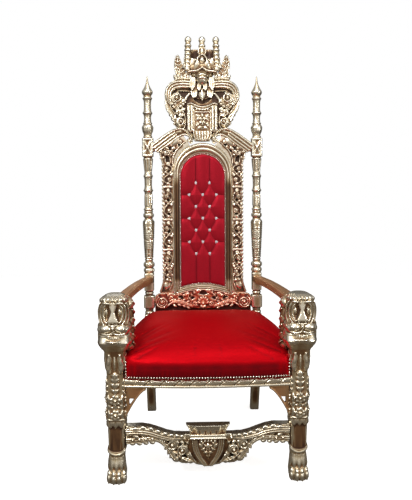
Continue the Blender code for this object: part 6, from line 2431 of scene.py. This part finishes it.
@dataclass
class Stretcher:
    """The carved stretcher: leaf branches, scrolls, cup and shield."""

    grain: float = 0.0016
    branch_face: float = 0.0205
    shield_face: float = 0.0275

    def build(self) -> bpy.types.Mesh:
        """The stretcher's mesh."""
        c = Carving(before_legs)
        c.take("front_stretcher")
        for half in c.halves():
            self.branch(half)
        self.cup(c)
        self.shield(c)
        return c.melt("front_stretcher", self.grain, ground=self.ground)

    def ground(self, p: Array) -> Array:
        """Pocket floors, the cup's and the shield's plain faces, and the rear are brown."""
        x, stand, z = np.abs(p[:, 0]), LEG_Y - p[:, 1], p[:, 2]
        deep = 0.9 * risen(0.012 - stand, 0.004) * risen(stand + 0.012, 0.004)
        cup = 0.04 * (z > 0.19) * (z < 0.2165) * (x < 0.09) * (stand > 0.01)
        shield = 0.14 * (z < 0.16) * (x < 0.062) * (stand > 0.01)
        rear = 0.35 * risen(-stand - 0.01, 0.004)
        return deep * (z < 0.185) + cup + shield + rear + 0.04

    def branch(self, c: Half) -> None:
        """One side: the reeded branch, its leaves and the scrolls down to the shield."""
        reach = LEG_X - 1.02 * LEG_HALF - 0.002
        f = self.branch_face
        c.relief(
            [(reach, 0.197), (0.262, 0.199), (0.22, 0.193), (0.18, 0.179), (0.14, 0.169), (0.096, 0.166)],
            [0.012, 0.014, 0.014, 0.013, 0.0115, 0.01, 0.007],
            [0.01, 0.012, 0.012, 0.011, 0.009], Profile.REEDED, f, 0.01, 19,
        )
        c.relief(
            [
                (reach, 0.158), (0.276, 0.16), (0.244, 0.163), (0.214, 0.166), (0.184, 0.158),
                (0.16, 0.138), (0.14, 0.112), (0.12, 0.084),
            ],
            [0.013, 0.012, 0.011, 0.01, 0.0085, 0.008, 0.008, 0.006],
            [0.009, 0.01, 0.01, 0.009], Profile.REEDED, f - 0.001, 0.008, 15,
        )
        for x, z, dx, dz in (
            (0.29, 0.194, -0.03, 0.014),
            (0.262, 0.201, -0.03, 0.009),
            (0.232, 0.199, -0.03, 0.004),
            (0.204, 0.191, -0.028, 0.0),
            (0.176, 0.181, -0.026, 0.002),
            (0.15, 0.172, -0.022, 0.008),
            (0.128, 0.168, -0.02, 0.01),
            (0.108, 0.166, -0.018, 0.01),
        ):
            c.petal((x, z), (x + dx, z + dz), 0.008, 0.0125, -0.16, base=f)
            c.petal((x - 0.006, z - 0.006), (x + dx, z - 0.02), 0.007, 0.011, 0.18, base=f)
        for x, z in ((0.296, 0.16), (0.27, 0.16), (0.246, 0.162), (0.222, 0.164)):
            c.petal((x, z), (x - 0.022, z - 0.014), 0.0072, 0.011, 0.2, base=f)
            c.boss(x - 0.012, z + 0.004, 0.005, 0.0125, f)
        c.relief(
            [(reach, 0.182), (0.27, 0.183), (0.226, 0.181), (0.196, 0.172)], 0.003, 0.006, Profile.ROUND,
            f,
        )
        # scrolls between the branch and the shield
        c.volute((0.136, 0.14), 0.026, 60.0, 1.4, 1, 0.006, 0.01, f - 0.002, 0.32)
        c.volute((0.098, 0.118), 0.025, 200.0, 1.4, -1, 0.0058, 0.01, f - 0.002, 0.32)
        c.acanthus(
            [(0.168, 0.142), (0.15, 0.118), (0.134, 0.092), (0.112, 0.074)], 0.018, 0.011, 4, f - 0.002,
            38,
        )
        c.acanthus(
            [(0.118, 0.104), (0.1, 0.088), (0.078, 0.078), (0.056, 0.07)], 0.016, 0.0105, 4, f - 0.002, 38
        )
        c.acanthus(
            [(0.072, 0.158), (0.082, 0.134), (0.078, 0.108), (0.066, 0.088)], 0.012, 0.0095, 4,
            f - 0.003, 38,
        )
        c.relief(
            [(0.066, 0.098), (0.058, 0.08), (0.044, 0.068)], [0.005, 0.0066, 0.004], 0.009,
            Profile.SPOON, f,
        )

    def cup(self, c: Carving) -> None:
        """The flared cup with a leafy foot, over a double band."""
        for k in range(-3, 4):
            x = k * 0.0196
            c.petal((x * 0.98, 0.187), (x * 1.05, 0.201), 0.0062, 0.006, 0.0, base=0.0295 - 0.0034 * abs(k))
            c.engrave([(x * 1.02 + 0.0098, 0.186), (x * 1.04 + 0.0098, 0.196)], 0.0044, 0.004, 0.03)
        c.relief([(-0.07, 0.1805), (0.0, 0.1805), (0.07, 0.1805)], 0.004, 0.007, Profile.ROUND, 0.031, 0.01)
        c.relief([(-0.068, 0.169), (0.0, 0.169), (0.068, 0.169)], 0.0046, 0.008, Profile.ROUND, 0.031, 0.01)

    def shield(self, c: Carving) -> None:
        """The shield: three ribs down each side that meet at the foot, and leaves in its field."""
        f = self.shield_face
        for half in c.halves():
            for inset, w, h in ((0.0, 0.0036, 0.0072), (0.008, 0.0034, 0.006), (0.0155, 0.003, 0.0064)):
                path = [
                    (0.0575 - inset, 0.161), (0.057 - inset, 0.14), (0.051 - inset, 0.114),
                    (0.0385 - 0.86 * inset, 0.09), (0.025 - 0.8 * inset, 0.072),
                    (0.013 - 0.5 * inset, 0.058),
                ]
                half.relief(path, [w, w, 0.9 * w], h, Profile.ROUND, f)
            half.acanthus([(0.004, 0.104), (0.018, 0.124), (0.033, 0.146)], 0.011, 0.006, 3, f, 40)
            half.acanthus([(0.004, 0.132), (0.016, 0.142), (0.03, 0.156)], 0.008, 0.0058, 2, f, 40)
        c.acanthus([(0.0, 0.088), (0.0, 0.112), (0.0, 0.146)], 0.012, 0.0066, 4, f, 38)
        for k in range(-2, 3):
            c.boss(k * 0.0125, 0.1555, 0.0048, 0.0062, f)


@dataclass
class Beading:
    """A row of small domes along a line, made by Geometry Nodes."""

    spacing: float
    radius: float
    segments: int = 8
    rings: int = 5

    def tree(self, material: bpy.types.Material) -> bpy.types.NodeTree:
        """The node tree: curve, spaced points, one dome on each, made real."""
        tree = bpy.data.node_groups.new("beading", "GeometryNodeTree")
        face = tree.interface
        face.new_socket("Line", in_out="INPUT", socket_type="NodeSocketGeometry")
        for name, value in (("Spacing", self.spacing), ("Radius", self.radius)):
            face.new_socket(name, in_out="INPUT", socket_type="NodeSocketFloat").default_value = value
        face.new_socket("Beads", in_out="OUTPUT", socket_type="NodeSocketGeometry")
        nodes = tree.nodes
        start, end = nodes.new("NodeGroupInput"), nodes.new("NodeGroupOutput")
        line = nodes.new("GeometryNodeMeshToCurve")
        spots = nodes.new("GeometryNodeResampleCurve")
        spots.mode = "LENGTH"
        dome = nodes.new("GeometryNodeMeshUVSphere")
        dome.inputs["Segments"].default_value = self.segments
        dome.inputs["Rings"].default_value = self.rings
        copies = nodes.new("GeometryNodeInstanceOnPoints")
        smooth = nodes.new("GeometryNodeSetShadeSmooth")
        real = nodes.new("GeometryNodeRealizeInstances")
        paint = nodes.new("GeometryNodeSetMaterial")
        paint.inputs["Material"].default_value = material
        for giver, out, taker, into in (
            (start, "Line", line, "Mesh"),
            (line, "Curve", spots, "Curve"),
            (start, "Spacing", spots, "Length"),
            (start, "Radius", dome, "Radius"),
            (spots, "Curve", copies, "Points"),
            (dome, "Mesh", copies, "Instance"),
            (copies, "Instances", smooth, "Geometry"),
            (smooth, "Geometry", real, "Geometry"),
            (real, "Geometry", paint, "Geometry"),
            (paint, "Geometry", end, "Beads"),
        ):
            tree.links.new(giver.outputs[out], taker.inputs[into])
        return tree

    def build(self, name: str, lines: Sequence[Array], material: bpy.types.Material) -> bpy.types.Mesh:
        """The beads along the lines, which are rows of places in space."""
        points, edges, start = [], [], 0
        for line in lines:
            points.append(np.asarray(line, float))
            edges.extend([(start + i, start + i + 1) for i in range(len(line) - 1)])
            start += len(line)
        mesh = bpy.data.meshes.new(name)
        mesh.from_pydata(np.vstack(points).tolist(), edges, [])
        obj = new_object(name, mesh)
        maker = obj.modifiers.new("Beading", "NODES")
        maker.node_group = self.tree(material)
        for item in maker.node_group.interface.items_tree:
            if item.item_type == "SOCKET" and item.in_out == "INPUT" and item.name in ("Spacing", "Radius"):
                maker[item.identifier] = self.spacing if item.name == "Spacing" else self.radius
        return settled(obj, name)


@dataclass
class CrystalButtons:
    """Faceted stones in small rims, one on each button's place."""

    radius: float = 0.0078

    def build(self, spots: Sequence[Tuple[float, float]], panel: BackPanel) -> bpy.types.Mesh:
        """All the buttons in one mesh; rims have the second material."""
        points: List[Array] = []
        faces: List[Sequence[int]] = []
        kinds: List[int] = []
        total = 0
        for x, z in spots:
            seat = float(panel.quilted(np.array([x]), np.array([z]))[0]) + 0.0004
            for kind, rows in (
                (0, ((0.98, 0.0004), (0.92, 0.0018), (0.62, 0.0036), (0.3, 0.0044))),
                (1, ((0.8, 0.0), (1.22, 0.0003), (1.26, 0.0012), (1.02, 0.002), (0.94, 0.0014))),
            ):
                count = 8 if kind == 0 else 16
                turn = circle(count)
                rings = []
                for i, (share, lift) in enumerate(rows):
                    a = turn + (math.pi / count * (i % 2) if kind == 0 else 0.0)
                    r = share * self.radius
                    rings.append(on_back(x + r * np.cos(a), z + r * np.sin(a), seat + lift + 0.0 * a))
                shape = Carving(on_back)
                shape.tube(np.array(rings))
                points.append(np.vstack(shape.points))
                faces.extend([[i + total for i in f] for f in shape.faces])
                kinds.extend([kind] * len(shape.faces))
                total += len(points[-1])
        mesh = new_mesh("buttons", np.vstack(points), faces, smooth=False)
        mesh.polygons.foreach_set("material_index", np.array(kinds, np.int32))
        return mesh


@dataclass
class Studio:
    """The pale floor, the soft light and the camera."""

    camera_place: Tuple[float, float, float] = (-0.072, -2.426, 1.1254)
    pitch: float = -6.66
    yaw: float = 1.82
    roll: float = -0.18
    focal_pixels: float = 578.1
    room_radius: float = 5.0
    room_height: float = 4.4
    room_sides: int = 48
    floor_sides: int = 64
    floor_drop: float = 0.0006
    looks_at: Tuple[float, float, float] = (0.0, 0.0, 0.95)
    walls: Sequence[Tuple[float, float]] = ((0.0, 0.52), (0.22, 0.42), (0.4, 0.25), (0.56, 0.13), (1.0, 0.1))
    lamps: Sequence[Tuple[str, Tuple[float, float, float], float, float]] = (
        ("key", (-1.5, -2.7, 3.0), 0.7, 58.0),
        ("fill", (2.7, -2.2, 1.7), 0.5, 19.0),
        ("top", (0.3, -0.9, 3.9), 1.2, 26.0),
        ("back", (-0.8, 3.2, 2.6), 1.2, 5.0),
    )

    def build(self, finishes: Finishes) -> None:
        """Sets up everything round the throne."""
        scene = bpy.context.scene
        scene.view_settings.view_transform = "Standard"
        scene.view_settings.look = "None"
        self.floor(finishes)
        self.room()
        self.sky(scene)
        self.lights()
        self.camera(scene)

    def floor(self, finishes: Finishes) -> None:
        """One large pale floor, which lends the leaf no shine of its own."""
        sides = self.floor_sides
        turns = circle(sides)
        level = np.full(sides, -self.floor_drop)
        rim = np.stack([self.room_radius * np.cos(turns), self.room_radius * np.sin(turns), level], -1)
        mesh = new_mesh("floor", rim, [list(range(sides))], smooth=False)
        mesh.materials.append(finishes.floor)
        floor = new_object("floor", mesh)
        floor.visible_glossy = False
        floor.visible_diffuse = False

    def room(self) -> None:
        """A closed room of cards that the leaf mirrors and the camera doesn't see.

        It is dark before the throne and under it, paler at its sides and above.
        """
        r = Recipe("room_cards")
        y = r.node("ShaderNodeSeparateXYZ", None, {0: r.place}, out="Y")
        z = r.node("ShaderNodeSeparateXYZ", None, {0: r.place}, out="Z")
        wall = r.ramp(
            (y * (0.5 / self.room_radius) + 0.5).kept(),
            [(at, (v, v * 0.96, v * 0.9, 1.0)) for at, v in self.walls],
        )
        rise = r.ramp(
            (z * (1.0 / self.room_height)).kept(),
            [
                (0.0, (0.56, 0.49, 0.41, 1.0)), (0.1, (0.66, 0.6, 0.52, 1.0)),
                (0.24, (0.9, 0.88, 0.84, 1.0)), (0.45, (1.25, 1.25, 1.25, 1.0)),
                (0.8, (2.1, 2.1, 2.1, 1.0)), (1.0, (2.4, 2.4, 2.4, 1.0)),
            ],
        )
        both = r.node(
            "ShaderNodeMix", {"data_type": "RGBA", "blend_type": "MULTIPLY"}, {0: 1.0, 6: wall, 7: rise},
            out=2,
        )
        r.node_output(r.node("ShaderNodeEmission", None, {"Color": both, "Strength": 1.0}))
        n = self.room_sides
        turns = circle(n)
        around = np.stack([self.room_radius * np.cos(turns), self.room_radius * np.sin(turns)], -1)
        rings = [np.c_[around, np.full(n, z)] for z in (-0.01, self.room_height)]
        faces: List[Sequence[int]] = [(i, (i + 1) % n, n + (i + 1) % n, n + i) for i in range(n)]
        faces += [list(range(n)), list(range(n, 2 * n))]
        mesh = new_mesh("room_cards", np.vstack(rings), faces, smooth=False)
        mesh.materials.append(r.material)
        cards = new_object("room_cards", mesh)
        cards.visible_camera = False
        cards.visible_shadow = False

    def sky(self, scene: bpy.types.Scene) -> None:
        """A white world behind everything."""
        world = bpy.data.worlds.new("studio")
        scene.world = world
        world.use_nodes = True
        back = world.node_tree.nodes["Background"]
        back.inputs["Color"].default_value = (1.0, 1.0, 1.0, 1.0)
        back.inputs["Strength"].default_value = 1.0

    def lights(self) -> None:
        """Softboxes: a key from the upper left, a fill from the right, one above and one behind."""
        target = np.array(self.looks_at)
        for name, place, size, power in self.lamps:
            light = bpy.data.lights.new(name, "AREA")
            light.shape = "SQUARE"
            light.size = size
            light.energy = power
            obj = new_object(name, light)
            obj.location = place
            way = target - np.array(place)
            obj.rotation_mode = "QUATERNION"
            obj.rotation_quaternion = Vector(way).to_track_quat("-Z", "Y")

    def camera(self, scene: bpy.types.Scene) -> None:
        """The camera at the photograph's place."""
        data = bpy.data.cameras.new("camera")
        data.sensor_fit = "VERTICAL"
        data.sensor_height = SENSOR_HEIGHT
        data.lens = self.focal_pixels * SENSOR_HEIGHT / PHOTO_HEIGHT
        obj = new_object("camera", data)
        obj.location = self.camera_place
        turn = Euler((math.radians(90 + self.pitch), 0.0, 0.0)).to_matrix()
        spin = Matrix.Rotation(math.radians(self.roll), 3, "Z")
        head = Matrix.Rotation(math.radians(-self.yaw), 3, "Z")
        obj.rotation_mode = "QUATERNION"
        obj.rotation_quaternion = (head @ turn @ spin).to_quaternion()
        data.clip_end = 60.0
        scene.camera = obj


def nail_lines() -> List[Array]:
    """Where nails hold the seat's cover: along the front rail, up beside the legs, and along the sides."""
    z = 0.4075
    reach = LEG_X - LEG_HALF - 0.0072
    front = [
        (x, front_rail_y(x) - 0.0016 - 0.003 * min(1.0, (reach - abs(x)) / 0.04), z)
        for x in np.linspace(-reach, reach, 90)
    ]
    lines = [np.array(front)]
    for side in (1, -1):
        post_x, post_y = side * (reach + 0.0006), front_rail_y(reach) - 0.0012
        lines.append(np.array([(post_x, post_y, z + 0.0103 + t * 0.048) for t in np.linspace(0, 1, 12)]))
        run = np.linspace(LEG_BACK_Y + 0.012, POST_FRONT_Y - 0.036, 60)
        lines.append(np.array([(side * (side_rail_x(y) + 0.0004), y, z) for y in run]))
    return lines


def main() -> None:
    """Builds every piece in order."""
    logging.basicConfig(level=logging.INFO, format="%(message)s")
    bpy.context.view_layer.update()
    finishes = Finishes()
    stand = Stand(finishes)
    gilt, glazed = [finishes.gilt], [finishes.glazed]
    Studio().build(finishes)

    stand.put_pair("front_leg", LionLeg().build(), gilt, "front_leg")
    stand.put_pair("rear_post", RearPost().build(), gilt, "rear_post")
    stand.put_pair("arm", ArmRail().build(), glazed, "arm")
    rails = SeatFrame()
    stand.put("front_rail_carved", rails.front(), gilt, ["front_rail"])
    stand.put_pair("side_rail", rails.side(), glazed, "side_rail")
    stand.put_pair("knee_bracket", rails.bracket(), glazed, "knee_bracket")
    stand.put(
        "seat_cushion_stuffed", SeatCushion().build(), [finishes.satin], ["seat_cushion"],
    )
    stand.put("back_frame_moulded", BackFrame().build(), gilt, ["back_frame"])
    panel = BackPanel()
    stand.put("back_pad_buttoned", panel.pad(), [finishes.crimson], ["back_pad"])
    stand.put("back_cover_stretched", panel.cover(), [finishes.plain_red], ["back_cover"])
    names = [f"back_button_{k:02d}" for k in range(1, 18)]
    stand.put(
        "crystal_buttons", CrystalButtons().build(panel.buttons(), panel),
        [finishes.crystal, finishes.nail], names,
    )
    stand.put_pair(
        "side_scrollwork", SideScrollwork().build(), [finishes.warm], "side_scrollwork"
    )
    # The lower rail's gilt carries a painted red reflection of the seat.
    stand.put("lower_rail_carved", LowerRail().build(), [finishes.painted_red_reflection], ["lower_rail"])
    stand.put("crest_rail_carved", CrestRail().build(), gilt, ["crest_rail"])
    stand.put("front_stretcher_carved", Stretcher().build(), gilt, ["front_stretcher"])

    nails = Beading(spacing=0.0104, radius=0.0041)
    stand.put(
        "seat_nails", nails.build("seat_nails", nail_lines(), finishes.nail),
        [finishes.nail],
    )
    edge = arch_outline(
        FRAME_HALF_WIDTH - FRAME_MEMBER - 0.0032, PANEL_TOP - 0.0032, PANEL_BOTTOM + 0.0032,
        PANEL_FOOT_RISE,
    )
    edge = np.vstack([edge, edge[:1]])
    line = on_back(edge[:, 0], edge[:, 1], np.full(len(edge), 0.015))
    trim = Beading(spacing=0.0078, radius=0.0029)
    stand.put("pad_trim", trim.build("pad_trim", [line], finishes.nail), [finishes.nail])

    # The rear rail, behind the seat, takes the darker gilt copy as painted shade; the seat board is plain
    # plywood.
    for node, material in (("seat_board", finishes.plywood), ("rear_rail", finishes.ground)):
        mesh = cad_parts[node].data
        mesh.materials.clear()
        mesh.materials.append(material)


if __name__ == "__main__":
    main()
